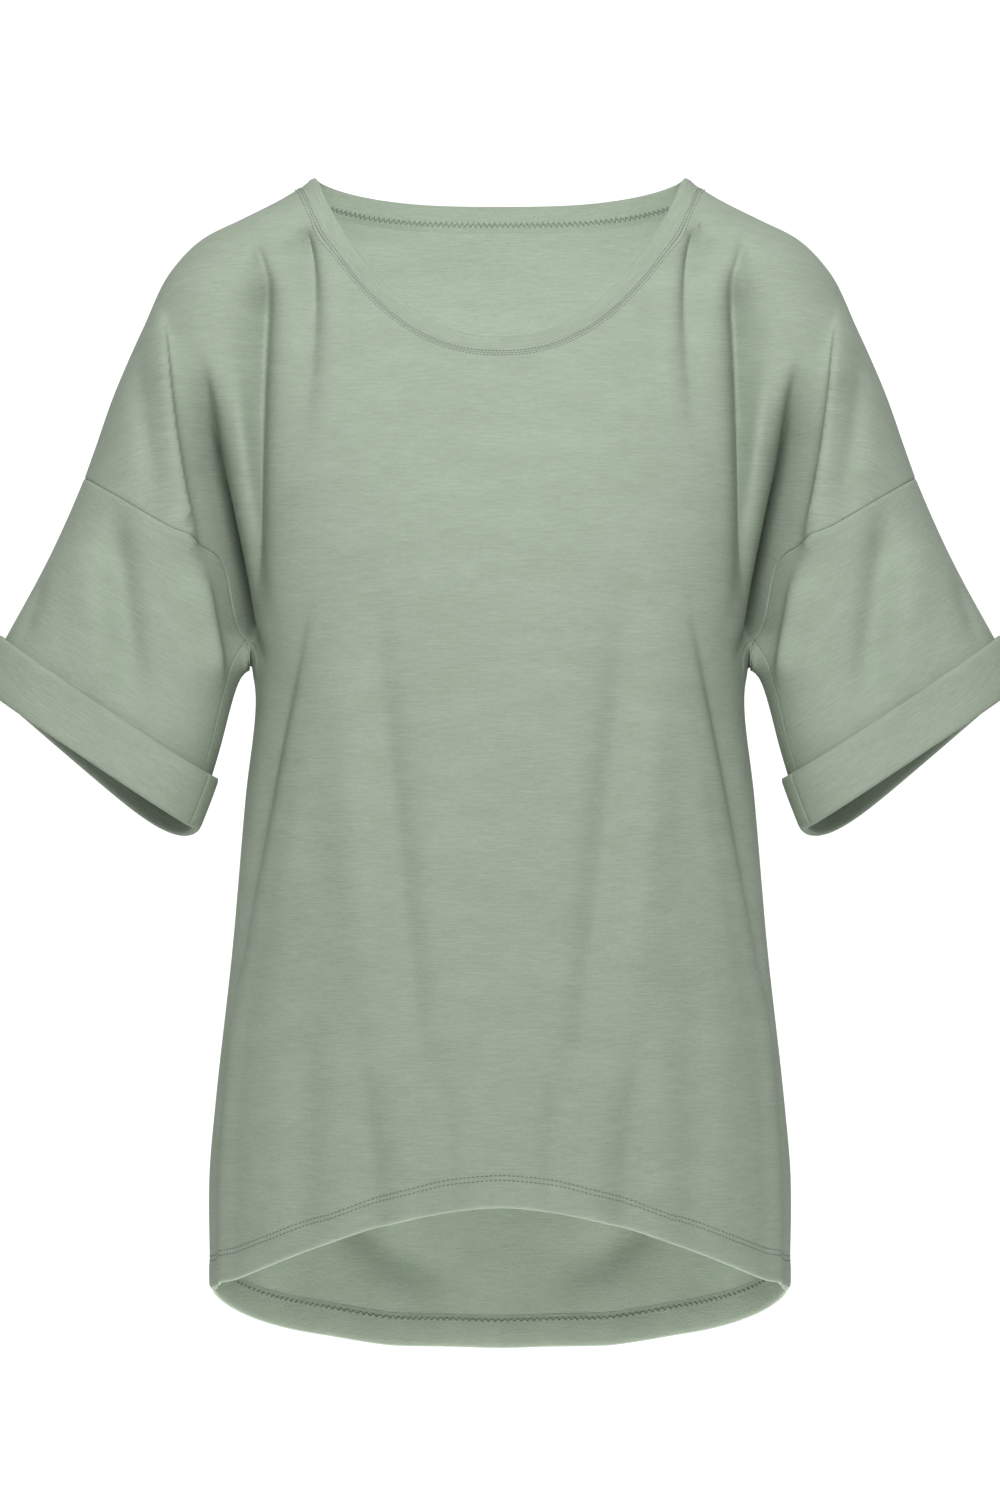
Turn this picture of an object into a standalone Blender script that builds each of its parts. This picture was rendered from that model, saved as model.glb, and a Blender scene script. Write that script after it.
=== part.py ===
"""Oversized jersey t-shirt: scoop neck, dropped shoulders, turned-up cuffs, dipped back hem.

The garment keeps the hollow form that it has when it is worn, with nobody in it. A smooth
form, a torso column joined to two arm tubes, carries every panel. Each panel is a grid laid
on that form between its own seam lines, then raised and sunk along the folds of the cloth
and given its wall. The front faces -Y, up is +Z, and the origin lies midway between the two
points where the shoulder seams reach the neck. Sizes are in millimetres.
"""

import math

import bmesh
import bpy
import numpy as np

MM = 0.001

# Cloth walls and the gaps between pieces
CLOTH_WALL = 2.0
HEM_WALL = 3.2
BAND_WALL = 2.6
CUFF_WALL = 2.4
SEAM_GAP = 0.3

# Trims
BAND_WIDTH = 12.0
HEM_DEPTH = 20.0
HEM_STEP = 1.0
CUFF_DEPTH = 34.0
CUFF_LIP = 2.6

# Neck opening, at the free edge of the band
NECK_FRONT_DROP = 108.0
NECK_BACK_DROP = 10.5
NECK_FRONT_ROUND = 2.3
NECK_BACK_ROUND = 3.4

# Hem heights at the centre front, the side seam and the centre back
HEM_FRONT = -657.0
HEM_SIDE = -719.0
HEM_BACK = -775.0
HEM_FRONT_CURVE = 1.7

# The arm's direction below the horizontal, and where its seams lie along it
ARM_ANGLE = math.radians(60)
NECK_REACH = 73.0
ARMHOLE_REACH = 303.0
ARMHOLE_SCOOP = 38.0
SLEEVE_END_REACH = 460.5
SLEEVE_END_RAKE = 0.067
SLEEVE_BACK_DROP = 0.115
SLEEVE_BACK_DROP_END = 138.0
UNDERARM_ANGLE = math.radians(154)

# Where the side seam comes forward under the arm, and how far down it goes back
SIDE_FORWARD = 20.0
SIDE_FORWARD_FADE = 110.0
UNDERARM_CREST_RISE = 9.0

# How broadly the torso and an arm run into each other
JOIN_RADIUS = 26.0

# Grid cells of the half panels and of the rings
SHOULDER_CELLS = 17
NECK_CELLS = 8
ARMHOLE_CELLS = 9
SIDE_CELLS = 15
BACK_NECK_CELLS = 7
SLEEVE_CELLS = 8
BAND_CELLS = 2
RELAX_ROUNDS = 60
RELAX_STEP = 0.6
RELAX_FULL = 0.36

SAGE = (0.305, 0.365, 0.287, 1.0)
CLOTH_ROUGHNESS = 0.9


def table(columns, *rows):
    """A short table whose columns are read by name."""
    return np.array(list(rows), dtype=[(name, float) for name in columns.split()])


# The torso's sections, from above the neck down to below the hem
TORSO = table(
    "level half_width front back squareness",
    (60, 60, 8, 36, 2.2),
    (20, 84, 14, 50, 2.2),
    (0, 104, 20, 58, 2.2),
    (-12, 122, 28, 65, 2.2),
    (-30, 146, 42, 73, 2.3),
    (-55, 163, 56, 81, 2.3),
    (-85, 170, 68, 88, 2.4),
    (-115, 172, 79, 95, 2.4),
    (-165, 172, 95, 103, 2.5),
    (-220, 170, 109, 108, 2.5),
    (-275, 163, 116, 109, 2.5),
    (-330, 158, 118, 107, 2.4),
    (-400, 165, 117, 106, 2.3),
    (-500, 173.8, 118, 111, 2.2),
    (-600, 184.8, 121, 119, 2.2),
    (-640, 188.4, 122, 121, 2.2),
    (-720, 188.4, 124, 127, 2.2),
    (-800, 190.5, 126, 132, 2.2),
)

# The shoulder and sleeve tube's sections, by the distance along the arm's direction
ARM = table(
    "reach outer inner half_depth lean flatness edge",
    (20, 72, 52, 14, 0, 2.3, 2.3),
    (60, 103.5, 58, 27, 0, 2.3, 2.3),
    (83, 116.5, 55, 36, 0, 2.3, 2.3),
    (107, 132.5, 50, 44, 0, 2.3, 2.3),
    (130, 147.5, 42, 50, 0, 2.4, 2.3),
    (157, 154.8, 28, 55, 0, 2.5, 2.2),
    (200, 152.2, 12, 57, -1, 2.6, 2.0),
    (243, 147.4, 3, 56, -3, 2.8, 1.9),
    (304, 136.0, -1, 53, -7, 3.0, 1.8),
    (358, 129.8, -12, 50, -12, 3.1, 1.8),
    (413, 127.6, -28.5, 47, -18, 3.2, 1.8),
    (490, 126.0, -46, 44, -25, 3.2, 1.8),
)

# Folds, by three points of each centre line seen from the front or the back. The height is
# positive for a roll and negative for a crease, and it falls off over the two widths.
FOLDS = table(
    "side x_top z_top x_mid z_mid x_low z_low height inner_width outer_width fade_top fade_low",
    # From the neck's end of the shoulder down over the chest
    (-1, 124, -24, 119, -90, 132, -190, -3.0, 12, 11, 0.4, 0.5),
    (-1, 157, -50, 149, -165, 150, -295, -7.0, 12, 12, 0.4, 0.35),
    # The valley in front of the armhole and the ridge beside it
    (-1, 208, -130, 182, -212, 168, -298, -15.0, 13, 12, 0.6, 0.3),
    (-1, 217, -60, 203, -165, 180, -275, 6.0, 12, 20, 0.5, 0.3),
    (-1, 231, -100, 222, -169, 213, -236, -3.5, 12, 12, 0.4, 0.4),
    # The upper arm and sleeve
    (-1, 252, -195, 241, -265, 233, -360, -3.5, 13, 13, 0.4, 0.3),
    # The long side fold from the underarm to the hem
    (-1, 130, -290, 139, -370, 160, -500, -4.5, 15, 12, 0.5, 0.4),
    # Soft folds of the front, below the chest
    (-1, 82, -240, 68, -380, 45, -530, -6.0, 20, 22, 0.5, 0.4),
    (-1, 100, -300, 96, -430, 92, -620, 3.5, 24, 20, 0.5, 0.5),
    (-1, 42, -490, 34, -580, 32, -690, -4.0, 13, 14, 0.5, 0.1),
    (-1, 84, -520, 78, -610, 77, -720, -4.5, 14, 14, 0.5, 0.1),
    (-1, 120, -480, 122, -590, 124, -730, -3.5, 16, 16, 0.5, 0.1),
    # The back: beside the armholes, and from the shoulder blades to the hem
    (1, 150, -60, 146, -160, 146, -290, -5.0, 13, 13, 0.4, 0.3),
    (1, 206, -130, 182, -212, 168, -290, -11.0, 13, 13, 0.6, 0.35),
    (1, 217, -70, 203, -165, 182, -275, 5.0, 12, 20, 0.5, 0.4),
    (1, 250, -195, 241, -265, 235, -360, -3.5, 13, 13, 0.4, 0.3),
    (1, 22, -300, 26, -500, 30, -800, 4.5, 20, 20, 0.5, 0.0),
    (1, 58, -280, 66, -480, 74, -800, -6.5, 18, 18, 0.5, 0.0),
    (1, 98, -260, 106, -470, 116, -800, 5.0, 18, 18, 0.5, 0.0),
    (1, 132, -300, 142, -470, 154, -760, -5.0, 16, 16, 0.5, 0.1),
)
FOLD_STEPS = 10
CURVE_STEPS = 80
FACING_FULL = 0.55


def along(place, places, values):
    """Values at given places, on a smooth curve through a table's rows."""
    order = np.argsort(places)
    places, values = places[order], values[order]
    slopes = np.gradient(values, places)
    low = np.clip(np.searchsorted(places, place) - 1, 0, len(places) - 2)
    span = places[low + 1] - places[low]
    u = np.clip((place - places[low]) / span, 0, 1)
    return (
        values[low] * (1 + 2 * u) * (1 - u) ** 2
        + slopes[low] * span * u * (1 - u) ** 2
        + values[low + 1] * u * u * (3 - 2 * u)
        + slopes[low + 1] * span * u * u * (u - 1)
    )


def ease(value):
    """0 to 1 with level ends."""
    u = np.clip(value, 0, 1)
    return u * u * (3 - 2 * u)


def faded(share, over):
    """Rises from 0 at a fold's end to 1, or is 1 all along if the fold keeps its height."""
    return ease(share / over) if over else np.ones_like(share)


def power(value, exponent):
    """A power that keeps its base's sign."""
    return np.sign(value) * np.abs(value) ** exponent


def torso_row(level, name):
    return along(level, TORSO["level"], TORSO[name])


def arm_row(reach, name):
    return along(reach, ARM["reach"], ARM[name])


def to_arm(points):
    """How far each point is along the arm's direction, and across it towards the top."""
    out, up = np.abs(points[..., 0]), points[..., 2]
    reach = out * math.cos(ARM_ANGLE) - up * math.sin(ARM_ANGLE)
    across = out * math.sin(ARM_ANGLE) + up * math.cos(ARM_ANGLE)
    return reach, across


def from_arm(reach, across, y):
    out = reach * math.cos(ARM_ANGLE) + across * math.sin(ARM_ANGLE)
    up = across * math.cos(ARM_ANGLE) - reach * math.sin(ARM_ANGLE)
    return np.stack([-out, y, up], axis=-1)


def outside(u, v, half_u, half_v, flatness, edge):
    """How far a point is outside a rounded section, along the ray from its middle."""
    size = (np.abs(u) / half_u) ** flatness + (np.abs(v) / half_v) ** edge
    size = np.maximum(size, 1e-9) ** (2 / (flatness + edge))
    return np.hypot(u, v) * (1 - 1 / size)


def torso_distance(points):
    level = points[..., 2]
    depth = np.where(
        points[..., 1] < 0, torso_row(level, "front"), torso_row(level, "back")
    )
    return outside(
        points[..., 0],
        points[..., 1],
        torso_row(level, "half_width"),
        depth,
        torso_row(level, "squareness"),
        torso_row(level, "squareness"),
    )


def arm_distance(points):
    reach, across = to_arm(points)
    outer, inner = arm_row(reach, "outer"), arm_row(reach, "inner")
    return outside(
        across - (outer + inner) / 2,
        points[..., 1] - arm_row(reach, "lean"),
        (outer - inner) / 2,
        arm_row(reach, "half_depth"),
        arm_row(reach, "flatness"),
        arm_row(reach, "edge"),
    )


def form(points):
    """Distance out of the smooth form that carries the cloth."""
    torso, arm = torso_distance(points), arm_distance(points)
    near = np.maximum(JOIN_RADIUS - np.abs(torso - arm), 0) / JOIN_RADIUS
    return np.minimum(torso, arm) - near * near * JOIN_RADIUS / 4


def gradient(points):
    reach = 0.4
    slopes = [
        (form(points + step) - form(points - step)) / (2 * reach)
        for step in reach * np.eye(3)
    ]
    return np.stack(slopes, axis=-1)


def settle(points, free=(1, 1, 1), rounds=12):
    """Moves points onto the form, along the free axes only."""
    free = np.array(free, float)
    for _ in range(rounds):
        slope = gradient(points) * free
        size = np.maximum((slope**2).sum(axis=-1), 0.02)
        step = -form(points) / size
        points = points + np.clip(step, -12, 12)[..., None] * slope
    return points


def fold_heights(out, up, side):
    """How far the folds of one side raise the cloth, seen from the front or the back."""
    heights = np.zeros(out.shape)
    steps = np.linspace(0, 1, FOLD_STEPS + 1)
    for fold in FOLDS[FOLDS["side"] == side]:
        line = {}
        for axis in "xz":
            top, mid, low = (fold[f"{axis}_{part}"] for part in ("top", "mid", "low"))
            control = 2 * mid - (top + low) / 2
            line[axis] = (
                top * (1 - steps) ** 2
                + 2 * control * steps * (1 - steps)
                + low * steps**2
            )
        nearest = np.full(out.shape, np.inf)
        offset, share = np.zeros(out.shape), np.zeros(out.shape)
        for k in range(FOLD_STEPS):
            dx, dz = line["x"][k + 1] - line["x"][k], line["z"][k + 1] - line["z"][k]
            gx, gz = out - line["x"][k], up - line["z"][k]
            u = np.clip((gx * dx + gz * dz) / (dx * dx + dz * dz), 0, 1)
            gx, gz = gx - u * dx, gz - u * dz
            away = np.hypot(gx, gz)
            closer = away < nearest
            nearest = np.where(closer, away, nearest)
            offset = np.where(closer, np.sign(dx * gz - dz * gx) * away, offset)
            share = np.where(closer, (k + u) / FOLD_STEPS, share)
        width = np.where(offset < 0, fold["inner_width"], fold["outer_width"])
        ends = faded(share, fold["fade_top"]) * faded(1 - share, fold["fade_low"])
        heights += fold["height"] * ends * np.exp(-((offset / width) ** 2))
    return heights


def push(points, facing, right=0, up=0):
    """How far the folds push points along Y, at a small step to one side or up."""
    out, level = np.abs(points[..., 0] + right), points[..., 2] + up
    front = fold_heights(out, level, -1) * ease(-facing / FACING_FULL)
    back = fold_heights(out, level, 1) * ease(facing / FACING_FULL)
    return back - front


def raised(points, out):
    """Points pushed by the folds along Y, then moved out of the folded surface."""
    slope = gradient(points)
    facing = slope[..., 1] / np.linalg.norm(slope, axis=-1)
    step = 0.5
    for axis, (right, up) in ((0, (step, 0)), (2, (0, step))):
        change = push(points, facing, right, up) - push(points, facing, -right, -up)
        slope[..., axis] -= slope[..., 1] * change / (2 * step)
    normal = slope / np.linalg.norm(slope, axis=-1, keepdims=True)
    moved = points + np.asarray(out)[..., None] * normal
    moved[..., 1] += push(points, facing)
    return moved


def arm_point(reach, angle):
    """A point of the arm tube's own section, by the angle from its top round the front."""
    outer, inner = arm_row(reach, "outer"), arm_row(reach, "inner")
    wide = power(np.cos(angle), 2 / arm_row(reach, "flatness"))
    deep = power(np.sin(angle), 2 / arm_row(reach, "edge"))
    across = (outer + inner) / 2 + (outer - inner) / 2 * wide
    y = arm_row(reach, "lean") - arm_row(reach, "half_depth") * deep
    return from_arm(reach, across, y)


def armhole_reach(angle):
    """The armhole seam is scooped out along the sleeve under the arm."""
    return ARMHOLE_REACH + ARMHOLE_SCOOP * ease((-np.cos(angle) - 0.3) / 0.62)


def armhole(angles):
    return settle(arm_point(armhole_reach(angles), angles))


def front_angles():
    """Stations of the armhole from the shoulder seam round the front to the underarm."""
    return np.linspace(0, UNDERARM_ANGLE, ARMHOLE_CELLS + 1)


def back_angles():
    return np.linspace(2 * math.pi, UNDERARM_ANGLE, ARMHOLE_CELLS + 1)


def shoulder_line(start, end, cells):
    """The shoulder seam along the ridge of the form."""
    reach = np.linspace(start, end, cells + 1)
    return settle(
        from_arm(reach, arm_row(reach, "outer"), arm_row(reach, "lean")), (1, 0, 1)
    )


def shares(line):
    """How far along a line each of its points lies, from 0 to 1."""
    length = np.concatenate([[0], np.cumsum(np.linalg.norm(np.diff(line, axis=0), axis=1))])
    return length / length[-1]


def spaced(line, fractions):
    """Points at given shares of a line's length."""
    places = shares(line)
    return np.stack([np.interp(fractions, places, line[:, k]) for k in range(3)], axis=-1)


def neck_line(side, inset, cells):
    """The neck's edge from the shoulder seam to the centre, moved out from the band's edge."""
    u = np.linspace(0, math.pi / 2, CURVE_STEPS)
    start = shoulder_line(NECK_REACH - BAND_WIDTH + inset, ARMHOLE_REACH, 1)[0]
    if side < 0:
        x = start[0] * np.cos(u) ** (2 / NECK_FRONT_ROUND)
        drop = NECK_FRONT_DROP + inset * 0.9 + start[2]
        z = start[2] - drop * np.sin(u) ** 2
    else:
        x = start[0] * np.cos(u)
        drop = NECK_BACK_DROP + inset * 0.9 + start[2]
        z = start[2] - drop * (1 - np.cos(u) ** NECK_BACK_ROUND)
    depth = torso_row(z, "front" if side < 0 else "back")
    y = side * depth * np.sin(u)
    line = settle(np.stack([x, y, z], axis=-1), (0, 1, 0.15), 30)
    line[0], line[-1, 0] = start, 0
    return spaced(line, np.linspace(0, 1, cells + 1))


def side_line():
    """The side seam from the underarm point over its crest and down to the hem."""
    start = armhole(np.array([UNDERARM_ANGLE]))[0]
    crest_x, crest_z = start[0] + UNDERARM_CREST_RISE, start[2] + 3
    down = np.linspace(0, 1, SIDE_CELLS - 1) ** 1.25
    z = crest_z - 16 + (HEM_SIDE - crest_z + 16) * down
    x = -torso_row(z, "half_width")
    z = np.concatenate([[start[2], crest_z], z])
    x = np.concatenate([[start[0], crest_x], x])
    forward = SIDE_FORWARD * ease(1 - (start[2] - z) / SIDE_FORWARD_FADE)
    y = np.where(z > start[2], start[1], -forward * abs(start[1]) / SIDE_FORWARD)
    line = np.stack([x, y, z], axis=-1)
    line[2:] = settle(line[2:], (1, 0, 0))
    line[1] = settle(line[1:2], (0.3, 0, 1))[0]
    return line


def hem_line(side, fractions):
    """The hem from the side seam to the centre, at shares of its length."""
    u = np.linspace(0, math.pi / 2, CURVE_STEPS)
    if side < 0:
        out = np.cos(u) ** (2 / torso_row(HEM_SIDE, "squareness"))
        z = HEM_SIDE + (HEM_FRONT - HEM_SIDE) * (1 - out**HEM_FRONT_CURVE)
        depth = torso_row(z, "front")
    else:
        z = HEM_SIDE + (HEM_BACK - HEM_SIDE) * np.sin(u)
        depth = torso_row(z, "back")
    bulge = 2 / torso_row(z, "squareness")
    x = -torso_row(z, "half_width") * np.cos(u) ** bulge
    line = np.stack([x, side * depth * np.sin(u) ** bulge, z], axis=-1)
    line[-1, 0] = 0
    return spaced(settle(line, (1, 1, 0)), fractions)


def evened(grid):
    """The inner points of a grid moved so that its lines run more evenly and don't cross
    where its outline turns inwards, the lowest rows most."""
    up, down, left, right = grid[:-2, 1:-1], grid[2:, 1:-1], grid[1:-1, :-2], grid[1:-1, 2:]
    along_rows, along_columns = (right - left) / 2, (down - up) / 2
    rows = (along_rows**2).sum(axis=-1, keepdims=True)
    columns = (along_columns**2).sum(axis=-1, keepdims=True)
    skew = (along_rows * along_columns).sum(axis=-1, keepdims=True)
    twist = (grid[2:, 2:] - grid[2:, :-2] - grid[:-2, 2:] + grid[:-2, :-2]) / 4
    moved = rows * (up + down) + columns * (left + right) - 2 * skew * twist
    share = np.linspace(0, 1, len(grid))[1:-1, None, None]
    weight = RELAX_STEP * np.clip(share / RELAX_FULL, 0, 1) ** 2
    return (1 - weight) * grid[1:-1, 1:-1] + weight * moved / (2 * (rows + columns))


def half_panel(side, neck_cells):
    """Half a front (side -1) or back (side 1) laid on the form between its seam lines."""
    angles = front_angles() if side < 0 else back_angles()
    neck = neck_line(side, BAND_WIDTH + SEAM_GAP / 2, neck_cells)
    shoulder = shoulder_line(ARMHOLE_REACH, NECK_REACH + SEAM_GAP / 2, SHOULDER_CELLS)
    top = np.concatenate([shoulder, neck[1:]])
    edge = np.concatenate([armhole(angles), side_line()[1:]])
    edge[0] = top[0]
    s, t = shares(top)[None, :, None], shares(edge)[:, None, None]
    hem = hem_line(side, s.ravel())
    hem[0] = edge[-1]
    centre = neck[-1] + (hem[-1] - neck[-1]) * t[:, 0]
    centre = settle(centre, (0, 1, 0))
    corners = (
        (1 - s) * (1 - t) * top[0]
        + s * (1 - t) * top[-1]
        + (1 - s) * t * hem[0]
        + s * t * hem[-1]
    )
    grid = (1 - t) * top + t * hem + (1 - s) * edge[:, None] + s * centre[:, None]
    grid = grid - corners
    inner = (slice(1, -1), slice(1, -1))
    grid[inner] = settle(grid[inner])
    for _ in range(RELAX_ROUNDS):
        grid[inner] = settle(evened(grid), rounds=2)
    above = [towards(grid[-1], grid[-2], HEM_DEPTH + rise) for rise in (HEM_STEP, 0)]
    grid = np.concatenate([grid[:-1], settle(np.array(above)), grid[-1:]])
    grid[:, -1, 0] = 0
    return grid


def mirrored(half):
    """A whole panel from its half at -X, column by column."""
    other = half[:, -2::-1] * (-1, 1, 1)
    return np.concatenate([half, other], axis=1)


def towards(start, end, distance):
    """Points moved a distance from some points towards others."""
    step = end - start
    return start + step / np.linalg.norm(step, axis=-1, keepdims=True) * distance


def stepped_in(line, inner, ring=False):
    """A seam line moved by half a gap, square to itself, towards the next line in."""
    ahead, behind = np.roll(line, -1, axis=0), np.roll(line, 1, axis=0)
    if not ring:
        ahead[-1], behind[0] = line[-1], line[0]
    square = np.cross(gradient(line), ahead - behind)
    square *= np.sign((square * (inner - line)).sum(axis=-1, keepdims=True))
    return towards(line, line + square, SEAM_GAP / 2)


def eased_in(grid):
    """A whole panel pulled in by half the gap at its shoulder, armhole and side seams."""
    eased = grid.copy()
    for seam in (slice(0, SHOULDER_CELLS + 1), slice(-SHOULDER_CELLS - 1, None)):
        eased[0, seam] = stepped_in(grid[0, seam], grid[1, seam])
    for cut, inner in ((0, 1), (-1, -2)):
        moved = stepped_in(grid[:, cut], grid[:, inner])
        moved[0] += eased[0, cut] - grid[0, cut]
        eased[:, cut] = moved
    return eased


def split_faces(mesh, lining):
    """Cuts each face into triangles from its corner that is farthest from the underarm, an
    outer corner on the rim, so that both sides of a seam twist alike."""
    underarm = armhole(np.array([UNDERARM_ANGLE]))[0] * MM

    def remoteness(vert):
        x, y, z = vert.co
        return math.dist((-abs(x), y, z), underarm)

    for face in list(mesh.faces):
        corners = list(face.verts)
        if sum(vert in lining for vert in corners) == 2:
            start = max((v for v in corners if v not in lining), key=remoteness)
        else:
            start = max(corners, key=remoteness)
        end = corners[(corners.index(start) + 2) % 4]
        bmesh.utils.face_split(face, start, end)


def cloth_solid(name, outer, inner, ring=False):
    """A closed wall between two grids of points, whose rows are rings if ring is set."""
    mesh = bmesh.new()
    station = mesh.verts.layers.int.new("station")
    columns = outer.shape[1]
    row = [mesh.verts.new(point * MM) for point in outer[0]]
    for k, vert in enumerate(row):
        vert[station] = k
    pairs = list(zip(row, row[1:] + row[:1])) if ring else list(zip(row, row[1:]))
    edges = [mesh.edges.new(pair) for pair in pairs]
    for i in range(1, len(outer)):
        made = bmesh.ops.extrude_edge_only(mesh, edges=edges)["geom"]
        edges = [item for item in made if isinstance(item, bmesh.types.BMEdge)]
        for vert in (item for item in made if isinstance(item, bmesh.types.BMVert)):
            column = vert[station] % columns
            vert[station] = i * columns + column
            vert.co = outer[i, column] * MM
    made = bmesh.ops.extrude_face_region(mesh, geom=mesh.faces[:], use_keep_orig=True)
    lining = {item for item in made["geom"] if isinstance(item, bmesh.types.BMVert)}
    for vert in lining:
        i, column = divmod(vert[station], columns)
        vert.co = inner[i, column] * MM
    split_faces(mesh, lining)
    bmesh.ops.recalc_face_normals(mesh, faces=mesh.faces[:])
    data = bpy.data.meshes.new(name)
    mesh.to_mesh(data)
    mesh.free()
    data.shade_smooth()
    data.set_sharp_from_angle(angle=math.radians(50))
    data.materials.append(jersey())
    piece = bpy.data.objects.new(name, data)
    bpy.context.scene.collection.objects.link(piece)
    return piece


def jersey():
    """Matte sage jersey."""
    found = bpy.data.materials.get("sage_jersey")
    if found:
        return found
    material = bpy.data.materials.new("sage_jersey")
    material.use_nodes = True
    shader = material.node_tree.nodes["Principled BSDF"]
    shader.inputs["Base Color"].default_value = SAGE
    shader.inputs["Roughness"].default_value = CLOTH_ROUGHNESS
    shader.inputs["Metallic"].default_value = 0
    return material


def panel(name, side, neck_cells):
    """A front or back, thicker along the hem where the cloth is turned up."""
    grid = eased_in(mirrored(half_panel(side, neck_cells)))
    wall = np.full(grid.shape[:2], CLOTH_WALL)
    wall[-2:] = HEM_WALL
    return cloth_solid(name, raised(grid, 0), raised(grid, -wall))


def sleeve_end(angle, short):
    """The reach of the sleeve's end at an angle, or that much short of it."""
    reach = SLEEVE_END_REACH - short
    for _ in range(3):
        point = arm_point(reach, angle)
        across = to_arm(point)[1]
        back = (point[..., 1] - arm_row(reach, "lean")) / arm_row(reach, "half_depth")
        drop = SLEEVE_BACK_DROP * (SLEEVE_BACK_DROP_END - across) * np.maximum(back, 0)
        reach = SLEEVE_END_REACH - short - SLEEVE_END_RAKE * across + drop
    return reach


def sleeve_stations():
    """Angles all round the sleeve, at the armhole's own stations."""
    return np.concatenate([front_angles(), back_angles()[-2:0:-1]])


def sleeve_rings(cells, short):
    """Rings from the armhole seam to a distance short of the sleeve's end."""
    angles = sleeve_stations()
    first = armhole(angles)
    begin, end = armhole_reach(angles), sleeve_end(angles, short)
    shift = to_arm(first)[0] - begin
    rings = []
    for k in range(cells + 1):
        u = k / cells
        reach = begin + shift * (1 - u) + (end - begin) * u
        rings.append(settle(arm_point(reach, angles)) if k else first)
    rings = np.array(rings)
    rings[0] = stepped_in(rings[0], rings[1], ring=True)
    return rings


def sleeve(name, hand):
    rings = sleeve_rings(SLEEVE_CELLS, CUFF_LIP + SEAM_GAP)
    turn = np.array((-hand, 1, 1))
    outer, inner = raised(rings, 0) * turn, raised(rings, -CLOTH_WALL) * turn
    return cloth_solid(name, outer, inner, ring=True)


def cuff(name, hand):
    """The turned-up cuff: a band outside the sleeve with a lip under the sleeve's end."""
    angles = sleeve_stations()
    clear, out = SEAM_GAP, SEAM_GAP + CUFF_WALL
    lip = CLOTH_WALL
    profile = table(
        "short outer inner",
        (CUFF_DEPTH, out + 2.2, clear + 2.2),
        (CUFF_DEPTH * 0.5, out + 1.6, clear + 1.6),
        (CUFF_LIP + 2, out + 0.3, clear),
        (CUFF_LIP, out, clear),
        (CUFF_LIP - 0.15, out, -lip),
        (0.9, out - 0.3, -lip + 0.1),
        (0, out - 1.3, -lip + 0.9),
    )
    outer, inner = [], []
    for row in profile:
        ring = settle(arm_point(sleeve_end(angles, row["short"]), angles))
        outer.append(raised(ring, row["outer"]))
        inner.append(raised(ring, row["inner"]))
    turn = np.array((-hand, 1, 1))
    return cloth_solid(name, np.array(outer) * turn, np.array(inner) * turn, ring=True)


def neckband():
    """The narrow band round the neck, from its seam to its free edge."""
    rows = []
    for k in range(BAND_CELLS + 1):
        inset = (BAND_WIDTH - SEAM_GAP / 2) * (1 - k / BAND_CELLS)
        front = neck_line(-1, inset, NECK_CELLS)
        back = neck_line(1, inset, BACK_NECK_CELLS)
        half = np.concatenate([front[::-1], back[1:]])
        other = half[-2:0:-1] * (-1, 1, 1)
        rows.append(np.concatenate([half, other]))
    rows = np.array(rows)
    return cloth_solid(
        "neckband", raised(rows, 0.4), raised(rows, 0.4 - BAND_WALL), ring=True
    )


def build():
    for old in list(bpy.data.objects):
        bpy.data.objects.remove(old)
    panel("front", -1, NECK_CELLS)
    panel("back", 1, BACK_NECK_CELLS)
    neckband()
    for word, hand in (("right", -1), ("left", 1)):
        sleeve(f"sleeve_{word}", hand)
        cuff(f"cuff_{word}", hand)


build()
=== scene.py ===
"""Oversized jersey t-shirt, sewn and finished over its solid frame.

The garment keeps the hollow form that it has when it is worn. Every piece is a thin sheet laid
on one smooth form, a torso column joined to two arm tubes, raised and sunk along its creases
and turned in at its seams and hems. Sizes in the tables are in millimetres.
"""

import functools
import math

import bmesh
import bpy
import numpy as np
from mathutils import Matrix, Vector


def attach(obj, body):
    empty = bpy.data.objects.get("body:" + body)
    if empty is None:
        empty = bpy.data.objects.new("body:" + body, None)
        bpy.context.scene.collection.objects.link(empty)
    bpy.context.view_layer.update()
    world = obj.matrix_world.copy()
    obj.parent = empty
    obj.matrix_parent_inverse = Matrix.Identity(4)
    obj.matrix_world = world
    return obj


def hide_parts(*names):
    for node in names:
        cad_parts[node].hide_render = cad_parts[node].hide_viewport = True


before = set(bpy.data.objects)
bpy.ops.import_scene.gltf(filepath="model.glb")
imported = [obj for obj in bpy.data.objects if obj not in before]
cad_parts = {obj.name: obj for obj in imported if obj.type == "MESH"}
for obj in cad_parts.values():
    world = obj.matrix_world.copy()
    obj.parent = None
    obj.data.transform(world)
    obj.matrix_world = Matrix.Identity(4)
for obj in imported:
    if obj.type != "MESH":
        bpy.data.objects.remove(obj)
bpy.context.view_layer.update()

bl_info = {
    "name": "Oversized T-Shirt",
    "version": (1, 0, 0),
    "blender": (4, 5, 0),
    "location": "View3D > Sidebar > T-Shirt",
    "description": "Lays, creases and sews an oversized jersey t-shirt in its worn form",
    "category": "Object",
}

MM = 0.001

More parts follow.
